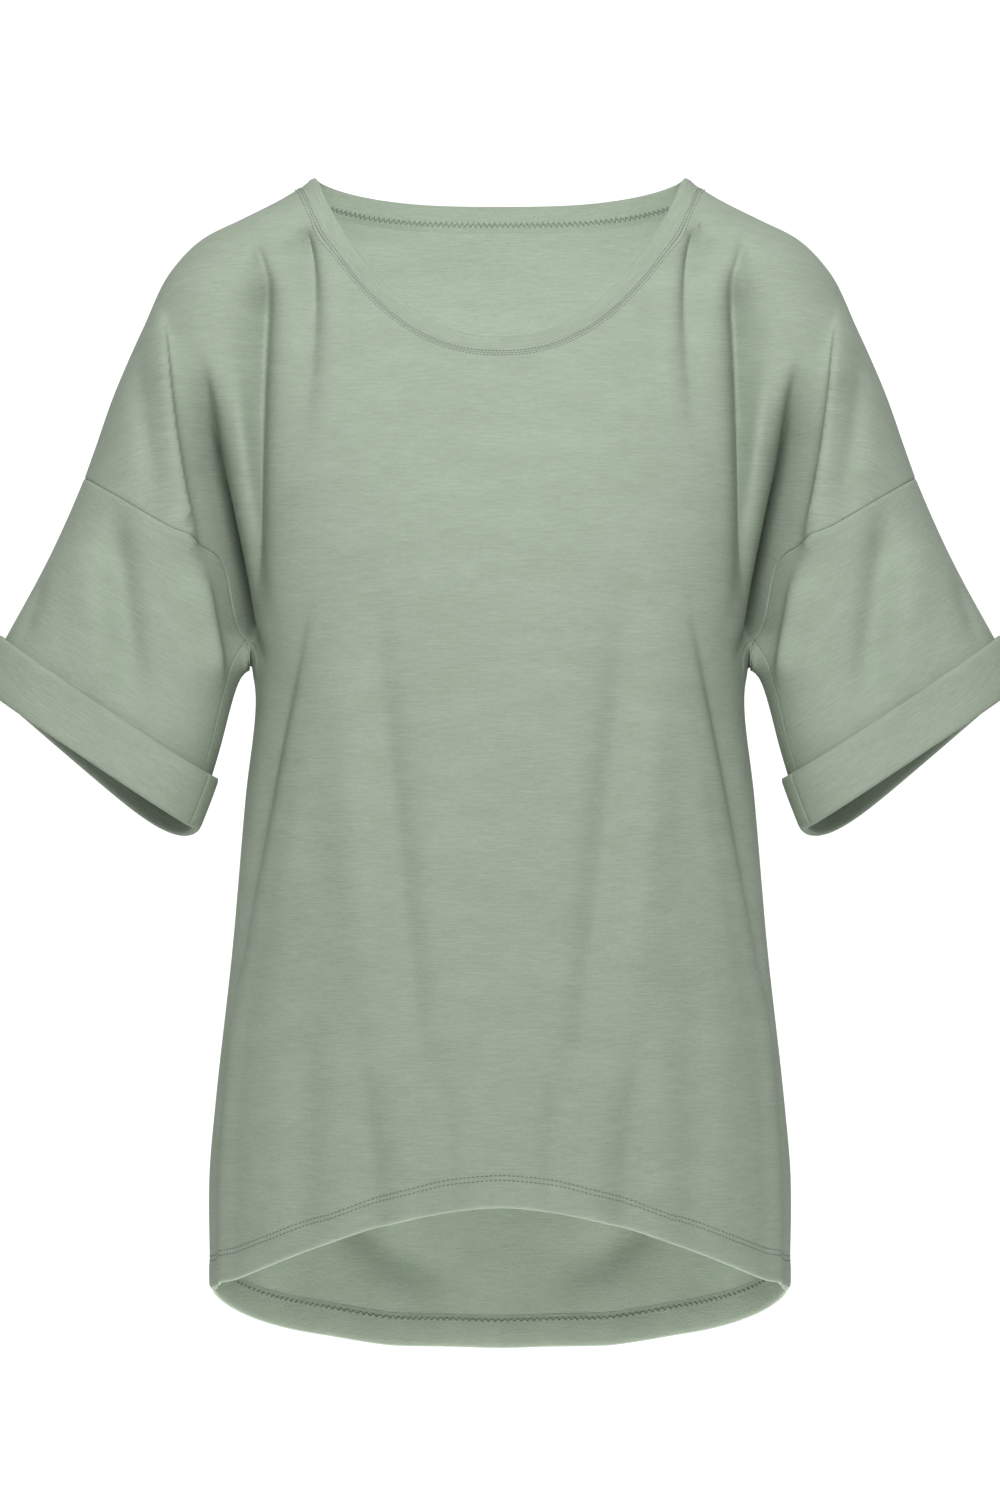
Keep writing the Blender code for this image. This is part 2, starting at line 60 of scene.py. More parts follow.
# The cut and the trims, as in the solid frame
BAND_WIDTH = 12.0
CUFF_DEPTH = 34.0
NECK_FRONT_DROP = 108.0
NECK_BACK_DROP = 10.5
NECK_FRONT_ROUND = 2.3
NECK_BACK_ROUND = 3.4
HEM_FRONT = -657.0
HEM_SIDE = -719.0
HEM_BACK = -775.0
HEM_FRONT_CURVE = 1.7
ARM_ANGLE = math.radians(60)
NECK_REACH = 73.0
ARMHOLE_REACH = 303.0
ARMHOLE_SCOOP = 38.0
SLEEVE_END_REACH = 460.5
SLEEVE_END_RAKE = 0.067
SLEEVE_BACK_DROP = 0.115
SLEEVE_BACK_DROP_END = 138.0
UNDERARM_ANGLE = math.radians(154)
SIDE_FORWARD = 20.0
SIDE_FORWARD_FADE = 110.0
UNDERARM_CREST_RISE = 9.0
JOIN_RADIUS = 26.0

# The first, coarse grid of a half panel, and how much finer the cloth is
SHOULDER_CELLS = 17
NECK_CELLS = 8
BACK_NECK_CELLS = 7
ARMHOLE_CELLS = 9
SIDE_CELLS = 15
RELAX_ROUNDS = 60
RELAX_STEP = 0.6
RELAX_FULL = 0.36
FINE_ROUNDS = 6
FINE_COLUMNS = 6
FINE_ROWS = 5
SLEEVE_ROWS = 52
CURVE_STEPS = 120
POINT_ROUNDS = 10
POINT_REACH = 5.0
FOLD_STEPS = 14
FOLD_REACH = 4.0
FACING_FULL = 0.55


def table(columns, *rows):
    """A short table whose columns are read by name."""
    return np.array(list(rows), dtype=[(name, float) for name in columns.split()])


# The torso's sections, from above the neck down to below the hem
TORSO = table(
    "level half_width front back squareness",
    (60, 60, 8, 36, 2.2),
    (20, 84, 14, 50, 2.2),
    (0, 104, 20, 58, 2.2),
    (-12, 122, 28, 65, 2.2),
    (-30, 146, 42, 73, 2.3),
    (-55, 163, 56, 81, 2.3),
    (-85, 170, 68, 88, 2.4),
    (-115, 172, 79, 95, 2.4),
    (-165, 172, 95, 103, 2.5),
    (-220, 170, 109, 108, 2.5),
    (-275, 163, 116, 109, 2.5),
    (-330, 158, 118, 107, 2.4),
    (-400, 165, 117, 106, 2.3),
    (-500, 173.8, 118, 111, 2.2),
    (-600, 184.8, 121, 119, 2.2),
    (-640, 188.4, 122, 121, 2.2),
    (-720, 188.4, 124, 127, 2.2),
    (-800, 190.5, 126, 132, 2.2),
)

# The shoulder and sleeve tube's sections, by the distance along the arm's direction
ARM = table(
    "reach outer inner half_depth lean flatness edge",
    (20, 72, 52, 14, 0, 2.3, 2.3),
    (60, 103.5, 58, 27, 0, 2.3, 2.3),
    (83, 116.5, 55, 36, 0, 2.3, 2.3),
    (107, 132.5, 50, 44, 0, 2.3, 2.3),
    (130, 147.5, 42, 50, 0, 2.4, 2.3),
    (157, 154.8, 28, 55, 0, 2.5, 2.2),
    (200, 152.2, 12, 57, -1, 2.6, 2.0),
    (243, 147.4, 3, 56, -3, 2.8, 1.9),
    (304, 136.0, -1, 53, -7, 3.0, 1.8),
    (358, 129.8, -12, 50, -12, 3.1, 1.8),
    (413, 127.6, -28.5, 47, -18, 3.2, 1.8),
    (490, 126.0, -46, 44, -25, 3.2, 1.8),
)

# Creases and rolls of the cloth, by three points of each centre line seen from the front or
# the back. A crease is the sharper the lower its crispness, and the cloth on its inner side
# laps over it, or a ridge's crest over the cloth on its inner side where lap is negative.
FOLDS = table(
    "side x_top z_top x_mid z_mid x_low z_low height inner outer crispness lap fade_top fade_low",
    # From the neck's end of the shoulder down over the chest
    (-1, 127, -33, 117, -84, 128, -200, -11.0, 5, 17, 1.5, 3, 0.2, 0.8),
    (-1, 115, -45, 108, -110, 118, -200, 2.0, 7, 7, 2.0, 0, 0.3, 0.6),
    (-1, 159, -51, 151, -58, 145, -96, -7.0, 4.5, 8, 1.6, 2.5, 0.4, 0.5),
    (-1, 146, -58, 150.5, -165, 152, -310, -25.0, 6.5, 17, 1.4, 3.4, 0.18, 0.25),
    (-1, 172, -105, 163, -190, 155, -285, 5.0, 7, 6, 2.0, 0, 0.4, 0.3),
    # The hollow in front of the armhole, and the ridge beyond it
    (-1, 193, -112, 173, -202, 151, -318, -54.0, 5, 20, 1.3, 5.5, 0.5, 0.12),
    (-1, 220, -66, 213, -165, 193, -262, 16.0, 4.5, 20, 1.3, -6, 0.3, 0.2),
    (-1, 223, -80, 221, -110, 217, -150, 2.5, 3, 3, 1.5, 0, 0.3, 0.3),
    (-1, 233, -95, 224, -168, 216, -235, -7.0, 9, 9, 2.0, 0, 0.4, 0.4),
    # Where the sleeve's front turns under beside the armhole seam
    (-1, 196, -240, 187, -288, 178, -338, 9.0, 4.5, 16, 1.4, -5, 0.35, 0.3),
    # Upper arm and sleeve
    (-1, 250, -200, 241, -262, 231, -350, -10.0, 9, 15, 1.7, 0, 0.4, 0.25),
    (-1, 266, -225, 257, -300, 252, -350, 3.0, 12, 12, 2.0, 0, 0.4, 0.4),
    (-1, 292, -250, 298, -278, 308, -306, -5.0, 3.5, 7, 1.5, 0, 0.4, 0.3),
    # The fold along the side, from the underarm to the hem
    (-1, 117, -262, 143, -400, 175, -565, -13.0, 4, 20, 1.3, 3.5, 0.5, 0.15),
    (-1, 110, -270, 130, -400, 158, -560, 3.0, 12, 9, 2.0, 0, 0.4, 0.4),
    (-1, 165, -500, 177, -610, 179, -722, -12.0, 4, 9, 1.3, 5, 0.3, 0.0),
    # Folds of the front below the chest, each with its roll
    (-1, 84, -225, 66, -420, 40, -650, -8.0, 12, 20, 1.8, 0, 0.45, 0.3),
    (-1, 104, -260, 92, -430, 66, -610, 5.0, 20, 16, 2.0, 0, 0.4, 0.4),
    (-1, 42, -540, 34, -600, 32, -675, -4.5, 9, 12, 1.8, 0, 0.5, 0.15),
    (-1, 98, -520, 82, -610, 77, -705, -6.0, 9, 14, 1.8, 0, 0.5, 0.15),
    (-1, 62, -540, 58, -610, 55, -685, 3.0, 10, 11, 2.0, 0, 0.5, 0.2),
    (-1, 120, -480, 122, -590, 124, -710, -4.5, 12, 15, 2.0, 0, 0.5, 0.2),
    (-1, 12, -330, 16, -480, 8, -640, -2.5, 22, 22, 2.0, 0, 0.5, 0.4),
    # The back: beside the armholes, and from the shoulder blades to the hem
    (1, 150, -60, 146, -160, 146, -290, -6.0, 9, 9, 1.5, 0, 0.4, 0.35),
    (1, 186, -110, 172, -190, 160, -280, -6.0, 9, 9, 1.5, 0, 0.45, 0.35),
    (1, 206, -130, 182, -212, 168, -290, -12.0, 10, 10, 1.8, 0, 0.6, 0.35),
    (1, 217, -70, 203, -165, 182, -275, 5.0, 10, 18, 1.7, 0, 0.5, 0.4),
    (1, 250, -195, 241, -265, 235, -360, -4.0, 11, 11, 2.0, 0, 0.4, 0.35),
    (1, 22, -300, 26, -500, 30, -800, 4.5, 20, 20, 2.0, 0, 0.5, 0.0),
    (1, 58, -280, 66, -480, 74, -800, -6.5, 17, 17, 1.8, 0, 0.5, 0.0),
    (1, 98, -260, 106, -470, 116, -800, 5.0, 18, 18, 2.0, 0, 0.5, 0.0),
    (1, 132, -300, 142, -470, 154, -760, -5.0, 15, 15, 1.8, 0, 0.5, 0.1),
    (1, 120, -650, 84, -700, 18, -736, 4.5, 22, 12, 1.8, 0, 0.4, 0.4),
)

# A seam, from the panel in to the seam and back along the allowance turned in behind it
SEAM = table(
    "inward depth",
    (4.0, 0.0),
    (2.2, 0.02),
    (1.1, 0.14),
    (0.4, 0.42),
    (0.0, 0.8),
    (0.1, 1.5),
    (0.9, 2.2),
    (3.4, 2.3),
    (5.6, 2.3),
)

# The neck seam and the sleeve's underarm seam, pressed flatter
FLAT_SEAM = table(
    "inward depth",
    (4.0, 0.0),
    (2.2, 0.0),
    (1.1, 0.04),
    (0.4, 0.12),
    (0.0, 0.4),
    (0.1, 1.0),
    (0.9, 1.5),
    (3.0, 1.3),
    (4.8, 0.86),
    (5.0, 0.84),
)

# A turned-up hem with two rows of needle stitching, and the allowance lying inside
HEM = table(
    "inward depth",
    (26.0, 0.0),
    (23.0, 0.0),
    (21.4, 0.05),
    (20.4, 0.28),
    (18.9, -0.08),
    (17.4, 0.15),
    (16.0, -0.25),
    (13.0, -0.5),
    (9.5, -0.55),
    (6.0, -0.55),
    (3.0, -0.5),
    (1.2, -0.25),
    (0.3, 0.3),
    (0.0, 0.95),
    (0.3, 1.6),
    (1.2, 2.0),
    (4.0, 2.2),
    (9.0, 2.1),
    (14.0, 1.8),
    (18.5, 1.35),
    (20.8, 1.08),
    (22.4, 0.86),
    (22.6, 0.84),
)
NEEDLE_ROWS = (20.4, 17.4)

# The turned-up cuff from inside the sleeve, round its lower fold, up and over its top edge
CUFF = table(
    "short out",
    (16, -2.9),
    (9, -2.9),
    (4, -2.7),
    (1.6, -2.4),
    (0.4, -1.6),
    (0.0, -0.4),
    (0.1, 0.9),
    (0.6, 2.0),
    (1.8, 2.9),
    (4.0, 3.4),
    (8.0, 3.7),
    (13.0, 4.0),
    (18.0, 4.3),
    (23.0, 4.6),
    (28.0, 4.8),
    (31.5, 4.9),
    (33.2, 4.6),
    (34.0, 3.9),
    (34.0, 3.1),
    (33.2, 2.5),
    (30.0, 2.1),
    (22.0, 1.8),
)

# The folded neckband from its seam out to its free edge and back inside
BAND = table(
    "inset out",
    (12.0, -0.7),
    (11.7, -0.4),
    (11.0, -0.25),
    (9.0, 0.1),
    (6.5, 0.55),
    (4.0, 1.0),
    (2.0, 1.3),
    (0.8, 1.2),
    (0.15, 0.6),
    (0.0, -0.2),
    (0.3, -0.8),
    (1.4, -1.1),
    (4.0, -1.3),
    (7.0, -1.6),
    (10.0, -1.9),
    (12.0, -2.1),
    (14.0, -1.9),
    (16.5, -1.3),
    (17.8, -0.86),
    (18.0, -0.84),
)


class ShirtSizes(bpy.types.PropertyGroup):
    """Sizes of the cloth and its sewing."""

    wall: bpy.props.FloatProperty(
        name="Jersey", description="Thickness of the jersey", default=0.0008, unit="LENGTH"
    )
    crease: bpy.props.FloatProperty(
        name="Creases", description="Share of the creases' full height", default=1.0
    )
    stitch: bpy.props.FloatProperty(
        name="Stitch", description="Length of one stitch", default=0.0028, unit="LENGTH"
    )
    thread: bpy.props.FloatProperty(
        name="Thread", description="Radius of the thread", default=0.00024, unit="LENGTH"
    )


class ShirtColours(bpy.types.PropertyGroup):
    """Colours of the jersey and its thread, as sRGB."""

    light: bpy.props.StringProperty(
        name="Light yarn", description="sRGB hex of the lightest slubs", default="A1AD9D"
    )
    main: bpy.props.StringProperty(
        name="Jersey", description="sRGB hex of most of the jersey", default="97A393"
    )
    dark: bpy.props.StringProperty(
        name="Dark yarn", description="sRGB hex of the darkest slubs", default="8E9B89"
    )
    # The thread's colour is darker than the jersey partly as painted shade for the shadows of the
    # stitch holes
    thread: bpy.props.StringProperty(
        name="Thread", description="sRGB hex of the sewing thread", default="6E7A6F"
    )


def curves(rows, place):
    """Each column of a table as a smooth curve: places, values and slopes."""
    rows = rows[np.argsort(rows[place])]
    places = rows[place].copy()
    return {
        name: (places, rows[name].copy(), np.gradient(rows[name], places))
        for name in rows.dtype.names
    }


TORSO_CURVES = curves(TORSO, "level")
ARM_CURVES = curves(ARM, "reach")


def along(place, curve):
    """Values at given places on a smooth curve."""
    places, values, slopes = curve
    low = np.clip(np.searchsorted(places, place) - 1, 0, len(places) - 2)
    span = places[low + 1] - places[low]
    u = np.clip((place - places[low]) / span, 0, 1)
    v = 1 - u
    return (
        (values[low] * (1 + 2 * u) + slopes[low] * span * u) * v * v
        + (values[low + 1] * (1 + 2 * v) - slopes[low + 1] * span * v) * u * u
    )


def ease(value):
    """0 to 1 with level ends."""
    u = np.clip(value, 0, 1)
    return u * u * (3 - 2 * u)


def faded(share, over):
    """Rises from 0 at a fold's end to 1, or is 1 all along if the fold keeps its height."""
    return ease(share / over) if over else np.ones_like(share)


def power(value, exponent):
    """A power that keeps its base's sign."""
    return np.sign(value) * np.abs(value) ** exponent


def torso_row(level, name):
    return along(level, TORSO_CURVES[name])


def arm_row(reach, name):
    return along(reach, ARM_CURVES[name])


def to_arm(points):
    """How far each point is along the arm's direction, and across it towards the top."""
    out, up = np.abs(points[..., 0]), points[..., 2]
    reach = out * math.cos(ARM_ANGLE) - up * math.sin(ARM_ANGLE)
    across = out * math.sin(ARM_ANGLE) + up * math.cos(ARM_ANGLE)
    return reach, across


def from_arm(reach, across, y):
    out = reach * math.cos(ARM_ANGLE) + across * math.sin(ARM_ANGLE)
    up = across * math.cos(ARM_ANGLE) - reach * math.sin(ARM_ANGLE)
    return np.stack([-out, y, up], axis=-1)


def outside(u, v, half_u, half_v, flatness, edge):
    """How far a point is outside a rounded section, along the ray from its middle."""
    size = (np.abs(u) / half_u) ** flatness + (np.abs(v) / half_v) ** edge
    size = np.maximum(size, 1e-9) ** (2 / (flatness + edge))
    return np.hypot(u, v) * (1 - 1 / size)


def torso_distance(points):
    level = points[..., 2]
    front, back = torso_row(level, "front"), torso_row(level, "back")
    squareness = torso_row(level, "squareness")
    depth = np.where(points[..., 1] < 0, front, back)
    width = torso_row(level, "half_width")
    return outside(points[..., 0], points[..., 1], width, depth, squareness, squareness)


def arm_distance(points):
    reach, across = to_arm(points)
    outer, inner = arm_row(reach, "outer"), arm_row(reach, "inner")
    return outside(
        across - (outer + inner) / 2,
        points[..., 1] - arm_row(reach, "lean"),
        (outer - inner) / 2,
        arm_row(reach, "half_depth"),
        arm_row(reach, "flatness"),
        arm_row(reach, "edge"),
    )


def form(points):
    """Distance out of the smooth form that carries the cloth."""
    torso, arm = torso_distance(points), arm_distance(points)
    near = np.maximum(JOIN_RADIUS - np.abs(torso - arm), 0) / JOIN_RADIUS
    return np.minimum(torso, arm) - near * near * JOIN_RADIUS / 4


def gradient(points):
    reach = 0.4
    slopes = [
        (form(points + step) - form(points - step)) / (2 * reach)
        for step in reach * np.eye(3)
    ]
    return np.stack(slopes, axis=-1)


def settle(points, free=(1, 1, 1), rounds=12):
    """Moves points onto the form, along the free axes only."""
    free = np.array(free, float)
    for _ in range(rounds):
        slope = gradient(points) * free
        size = np.maximum((slope**2).sum(axis=-1), 0.02)
        step = -form(points) / size
        points = points + np.clip(step, -12, 12)[..., None] * slope
    return points


def fold_moves(out, up, side):
    """How far the creases of one side raise the cloth, seen from the front or the back, and
    how far they slip it away from the middle."""
    moves = np.zeros(out.shape + (2,))
    steps = np.linspace(0, 1, FOLD_STEPS + 1)
    for fold in FOLDS[FOLDS["side"] == side]:
        reach = FOLD_REACH * max(fold["inner"], fold["outer"])
        sides = [fold[f"x_{part}"] for part in ("top", "mid", "low")]
        near = (out > min(sides) - reach) & (out < max(sides) + reach)
        near &= (up < fold["z_top"] + reach) & (up > fold["z_low"] - reach)
        if near.any():
            moves[near] += fold_move(fold, steps, out[near], up[near])
    return moves * bpy.context.scene.shirt_sizes.crease


def fold_move(fold, steps, out, up):
    """How far one crease raises and slips the cloth at some points."""
    line = {}
    for axis in "xz":
        top, mid, low = (fold[f"{axis}_{part}"] for part in ("top", "mid", "low"))
        control = 2 * mid - (top + low) / 2
        line[axis] = (
            top * (1 - steps) ** 2 + 2 * control * steps * (1 - steps) + low * steps**2
        )
    nearest = np.full(out.shape, np.inf)
    offset, share = np.zeros(out.shape), np.zeros(out.shape)
    for k in range(FOLD_STEPS):
        dx, dz = line["x"][k + 1] - line["x"][k], line["z"][k + 1] - line["z"][k]
        gx, gz = out - line["x"][k], up - line["z"][k]
        u = np.clip((gx * dx + gz * dz) / (dx * dx + dz * dz), 0, 1)
        gx, gz = gx - u * dx, gz - u * dz
        away = np.hypot(gx, gz)
        closer = away < nearest
        nearest = np.where(closer, away, nearest)
        offset = np.where(closer, np.sign(dx * gz - dz * gx) * away, offset)
        share = np.where(closer, (k + u) / FOLD_STEPS, share)
    width = np.where(offset < 0, fold["inner"], fold["outer"])
    ends = faded(share, fold["fade_top"]) * faded(1 - share, fold["fade_low"])
    raise_by = fold["height"] * np.exp(-(np.abs(offset / width) ** fold["crispness"]))
    roll = -fold["inner"] if fold["height"] < 0 else 0
    slip_by = fold["lap"] * np.exp(-(((offset - roll) / fold["inner"]) ** 2))
    return np.stack([raise_by * ends, slip_by * ends], axis=-1)


def push(points, facing, right=0, up=0):
    """How far the creases push points along Y and slip them away from the middle, at a
    small step to one side or up."""
    out, level = np.abs(points[..., 0] + right), points[..., 2] + up
    front = fold_moves(out, level, -1) * ease(-facing / FACING_FULL)[..., None]
    back = fold_moves(out, level, 1) * ease(facing / FACING_FULL)[..., None]
    return back * (1, 1) + front * (-1, 1)


def raised(points, out):
    """Points pushed by the creases, then moved out of the creased surface."""
    slope = gradient(points)
    facing = slope[..., 1] / np.linalg.norm(slope, axis=-1)
    step = 0.5
    for axis, (right, up) in ((0, (step, 0)), (2, (0, step))):
        change = push(points, facing, right, up) - push(points, facing, -right, -up)
        slope[..., axis] -= slope[..., 1] * change[..., 0] / (2 * step)
    normal = slope / np.linalg.norm(slope, axis=-1, keepdims=True)
    moved = points + np.asarray(out)[..., None] * normal
    pushed = push(points, facing)
    moved[..., 0] += np.sign(points[..., 0]) * pushed[..., 1]
    moved[..., 1] += pushed[..., 0]
    return moved


def arm_point(reach, angle):
    """A point of the arm tube's own section, by the angle from its top round the front."""
    outer, inner = arm_row(reach, "outer"), arm_row(reach, "inner")
    wide = power(np.cos(angle), 2 / arm_row(reach, "flatness"))
    deep = power(np.sin(angle), 2 / arm_row(reach, "edge"))
    across = (outer + inner) / 2 + (outer - inner) / 2 * wide
    y = arm_row(reach, "lean") - arm_row(reach, "half_depth") * deep
    return from_arm(reach, across, y)


def armhole_reach(angle):
    """The armhole seam is scooped out along the sleeve under the arm."""
    return ARMHOLE_REACH + ARMHOLE_SCOOP * ease((-np.cos(angle) - 0.3) / 0.62)


def armhole(angles):
    return settle(arm_point(armhole_reach(angles), angles))


def armhole_angles(side, finer_by=1):
    """Stations of the armhole, evenly spaced, from the shoulder seam round one side to the
    underarm."""
    start = 0 if side < 0 else 2 * math.pi
    angles = np.linspace(start, UNDERARM_ANGLE, 4 * CURVE_STEPS)
    even = np.linspace(0, 1, ARMHOLE_CELLS * finer_by + 1)
    return np.interp(even, shares(armhole(angles)), angles)


def shoulder_line(start, end, cells):
    """The shoulder seam along the ridge of the form."""
    reach = np.linspace(start, end, cells + 1)
    return settle(
        from_arm(reach, arm_row(reach, "outer"), arm_row(reach, "lean")), (1, 0, 1)
    )


def shares(line):
    """How far along a line each of its points lies, from 0 to 1."""
    length = np.concatenate([[0], np.cumsum(np.linalg.norm(np.diff(line, axis=0), axis=1))])
    return length / length[-1]


def spaced(line, fractions):
    """Points at given shares of a line's length."""
    places = shares(line)
    return np.stack([np.interp(fractions, places, line[:, k]) for k in range(3)], axis=-1)


@functools.lru_cache(maxsize=None)
def neck_line(side, inset, cells):
    """The neck's edge from the shoulder seam to the centre, moved out from the band's edge."""
    u = np.linspace(0, math.pi / 2, CURVE_STEPS)
    start = shoulder_line(NECK_REACH - BAND_WIDTH + inset, ARMHOLE_REACH, 1)[0]
    if side < 0:
        x = start[0] * np.cos(u) ** (2 / NECK_FRONT_ROUND)
        drop = NECK_FRONT_DROP + inset * 0.9 + start[2]
        z = start[2] - drop * np.sin(u) ** 2
    else:
        x = start[0] * np.cos(u)
        drop = NECK_BACK_DROP + inset * 0.9 + start[2]
        z = start[2] - drop * (1 - np.cos(u) ** NECK_BACK_ROUND)
    depth = torso_row(z, "front" if side < 0 else "back")
    y = side * depth * np.sin(u)
    line = settle(np.stack([x, y, z], axis=-1), (0, 1, 0.15), 30)
    line[0], line[-1, 0] = start, 0
    return spaced(line, np.linspace(0, 1, cells + 1))


def side_line():
    """The side seam from the underarm point over its crest and down to the hem."""
    start = armhole(np.array([UNDERARM_ANGLE]))[0]
    crest_x, crest_z = start[0] + UNDERARM_CREST_RISE, start[2] + 3
    down = np.linspace(0, 1, SIDE_CELLS - 1) ** 1.25
    z = crest_z - 16 + (HEM_SIDE - crest_z + 16) * down
    x = -torso_row(z, "half_width")
    z = np.concatenate([[start[2], crest_z], z])
    x = np.concatenate([[start[0], crest_x], x])
    forward = SIDE_FORWARD * ease(1 - (start[2] - z) / SIDE_FORWARD_FADE)
    y = np.where(z > start[2], start[1], -forward * abs(start[1]) / SIDE_FORWARD)
    line = np.stack([x, y, z], axis=-1)
    line[2:] = settle(line[2:], (1, 0, 0))
    line[1] = settle(line[1:2], (0.3, 0, 1))[0]
    return line


def hem_line(side, fractions):
    """The hem from the side seam to the centre, at shares of its length."""
    u = np.linspace(0, math.pi / 2, CURVE_STEPS)
    if side < 0:
        out = np.cos(u) ** (2 / torso_row(HEM_SIDE, "squareness"))
        z = HEM_SIDE + (HEM_FRONT - HEM_SIDE) * (1 - out**HEM_FRONT_CURVE)
        depth = torso_row(z, "front")
    else:
        z = HEM_SIDE + (HEM_BACK - HEM_SIDE) * np.sin(u)
        depth = torso_row(z, "back")
    bulge = 2 / torso_row(z, "squareness")
    x = -torso_row(z, "half_width") * np.cos(u) ** bulge
    line = np.stack([x, side * depth * np.sin(u) ** bulge, z], axis=-1)
    line[-1, 0] = 0
    return spaced(settle(line, (1, 1, 0)), fractions)


def evened(grid):
    """The inner points of a grid moved so that its lines run more evenly and don't cross
    where its outline turns inwards, the lowest rows most."""
    up, down, left, right = grid[:-2, 1:-1], grid[2:, 1:-1], grid[1:-1, :-2], grid[1:-1, 2:]
    along_rows, along_columns = (right - left) / 2, (down - up) / 2
    rows = (along_rows**2).sum(axis=-1, keepdims=True)
    columns = (along_columns**2).sum(axis=-1, keepdims=True)
    skew = (along_rows * along_columns).sum(axis=-1, keepdims=True)
    twist = (grid[2:, 2:] - grid[2:, :-2] - grid[:-2, 2:] + grid[:-2, :-2]) / 4
    moved = rows * (up + down) + columns * (left + right) - 2 * skew * twist
    share = np.linspace(0, 1, len(grid))[1:-1, None, None]
    weight = RELAX_STEP * np.clip(share / RELAX_FULL, 0, 1) ** 2
    return (1 - weight) * grid[1:-1, 1:-1] + weight * moved / (2 * (rows + columns))


def filled(grid, top, hem, edge, centre):
    """A grid with new outlines, and its inner points carried along with them."""
    s, t = shares(top)[None, :, None], shares(edge)[:, None, None]
    top_move, hem_move = top - grid[0], hem - grid[-1]
    edge_move, centre_move = edge - grid[:, 0], centre - grid[:, -1]
    corners = (
        (1 - s) * (1 - t) * top_move[0]
        + s * (1 - t) * top_move[-1]
        + (1 - s) * t * hem_move[0]
        + s * t * hem_move[-1]
    )
    across = (1 - t) * top_move + t * hem_move
    down = (1 - s) * edge_move[:, None] + s * centre_move[:, None]
    moved = grid + across + down - corners
    moved[0], moved[-1], moved[:, 0], moved[:, -1] = top, hem, edge, centre
    return moved


def finer(rows, cells):
    """Rows of points with more rows between them, on smooth curves."""
    ahead = np.concatenate([rows[1:], [2 * rows[-1] - rows[-2]]])
    behind = np.concatenate([[2 * rows[0] - rows[1]], rows[:-1]])
    slopes = (ahead - behind) / 2
    made = []
    for k in range(len(rows) - 1):
        for u in np.arange(cells) / cells:
            made.append(
                rows[k] * (1 + 2 * u) * (1 - u) ** 2
                + slopes[k] * u * (1 - u) ** 2
                + rows[k + 1] * u * u * (3 - 2 * u)
                + slopes[k + 1] * u * u * (u - 1)
            )
    made.append(rows[-1])
    return np.array(made)


def half_panel(side, neck_cells):
    """Half a front (side -1) or back (side 1) laid on the form between its seam lines."""
    neck = neck_line(side, BAND_WIDTH, neck_cells)
    shoulder = shoulder_line(ARMHOLE_REACH, NECK_REACH, SHOULDER_CELLS)
    top = np.concatenate([shoulder, neck[1:]])
    edge = np.concatenate([armhole(armhole_angles(side)), side_line()[1:]])
    edge[0] = top[0]
    hem = hem_line(side, shares(top))
    hem[0] = edge[-1]
    down = shares(edge)[:, None]
    centre = settle(neck[-1] + (hem[-1] - neck[-1]) * down, (0, 1, 0))
    grid = filled(np.zeros((len(edge), len(top), 3)), top, hem, edge, centre)
    inner = (slice(1, -1), slice(1, -1))
    grid[inner] = settle(grid[inner])
    for _ in range(RELAX_ROUNDS):
        grid[inner] = settle(evened(grid), rounds=2)

    # The same panel with finer cells, true to its seam lines again
    upper = finer(grid[: ARMHOLE_CELLS + 1], FINE_ROWS)
    lower = finer(grid[ARMHOLE_CELLS:], FINE_ROWS)
    grid = np.concatenate([upper, lower[1:]]).swapaxes(0, 1)
    outer = finer(grid[: SHOULDER_CELLS + 1], FINE_COLUMNS)
    inner_part = finer(grid[SHOULDER_CELLS:], FINE_COLUMNS)
    grid = np.concatenate([outer, inner_part[1:]]).swapaxes(0, 1)
    neck = neck_line(side, BAND_WIDTH, neck_cells * FINE_COLUMNS)
    shoulder = shoulder_line(ARMHOLE_REACH, NECK_REACH, SHOULDER_CELLS * FINE_COLUMNS)
    top = np.concatenate([shoulder, neck[1:]])
    side_seam = settle(finer(side_line(), FINE_ROWS), (1, 0.2, 1))
    edge = np.concatenate([armhole(armhole_angles(side, FINE_ROWS)), side_seam[1:]])
    edge[0] = top[0]
    hem = hem_line(side, shares(top))
    hem[0] = edge[-1]
    centre = settle(grid[:, -1], (0, 1, 0))
    centre[:, 0] = 0
    centre[0], centre[-1] = top[-1], hem[-1]
    grid = filled(grid, top, hem, edge, centre)
    grid[inner] = settle(grid[inner], rounds=6)
    for _ in range(FINE_ROUNDS):
        grid[inner] = settle(evened(grid), rounds=2)
    return grid


def mirrored(half):
    """A whole panel from its half at -X, column by column."""
    other = half[:, -2::-1] * (-1, 1, 1)
    return np.concatenate([half, other], axis=1)


def laid_flat(grid):
    """Each point's place on the cloth before it was sewn, across and up from the hem's middle."""
    step = np.diff(grid, axis=1)
    across = np.hypot(step[..., 0], step[..., 1])
    across = np.concatenate([np.zeros((len(grid), 1)), np.cumsum(across, axis=1)], axis=1)
    middle = grid.shape[1] // 2
    across -= across[:, middle : middle + 1]
    step = np.diff(grid[::-1], axis=0)
    rise = np.sign(step[..., 2]) * np.hypot(step[..., 1], step[..., 2])
    up = np.concatenate([np.zeros((1, grid.shape[1])), np.cumsum(rise, axis=0)], axis=0)
    up = up[::-1] + grid[-1, :, 2] - HEM_BACK
    return np.stack([across, up], axis=-1)


def with_cloth(grid, flat):
    """One array of points, depth behind the surface, and places on the flat cloth."""
    depth = np.zeros(grid.shape[:2] + (1,))
    return np.concatenate([grid, depth, flat], axis=-1)


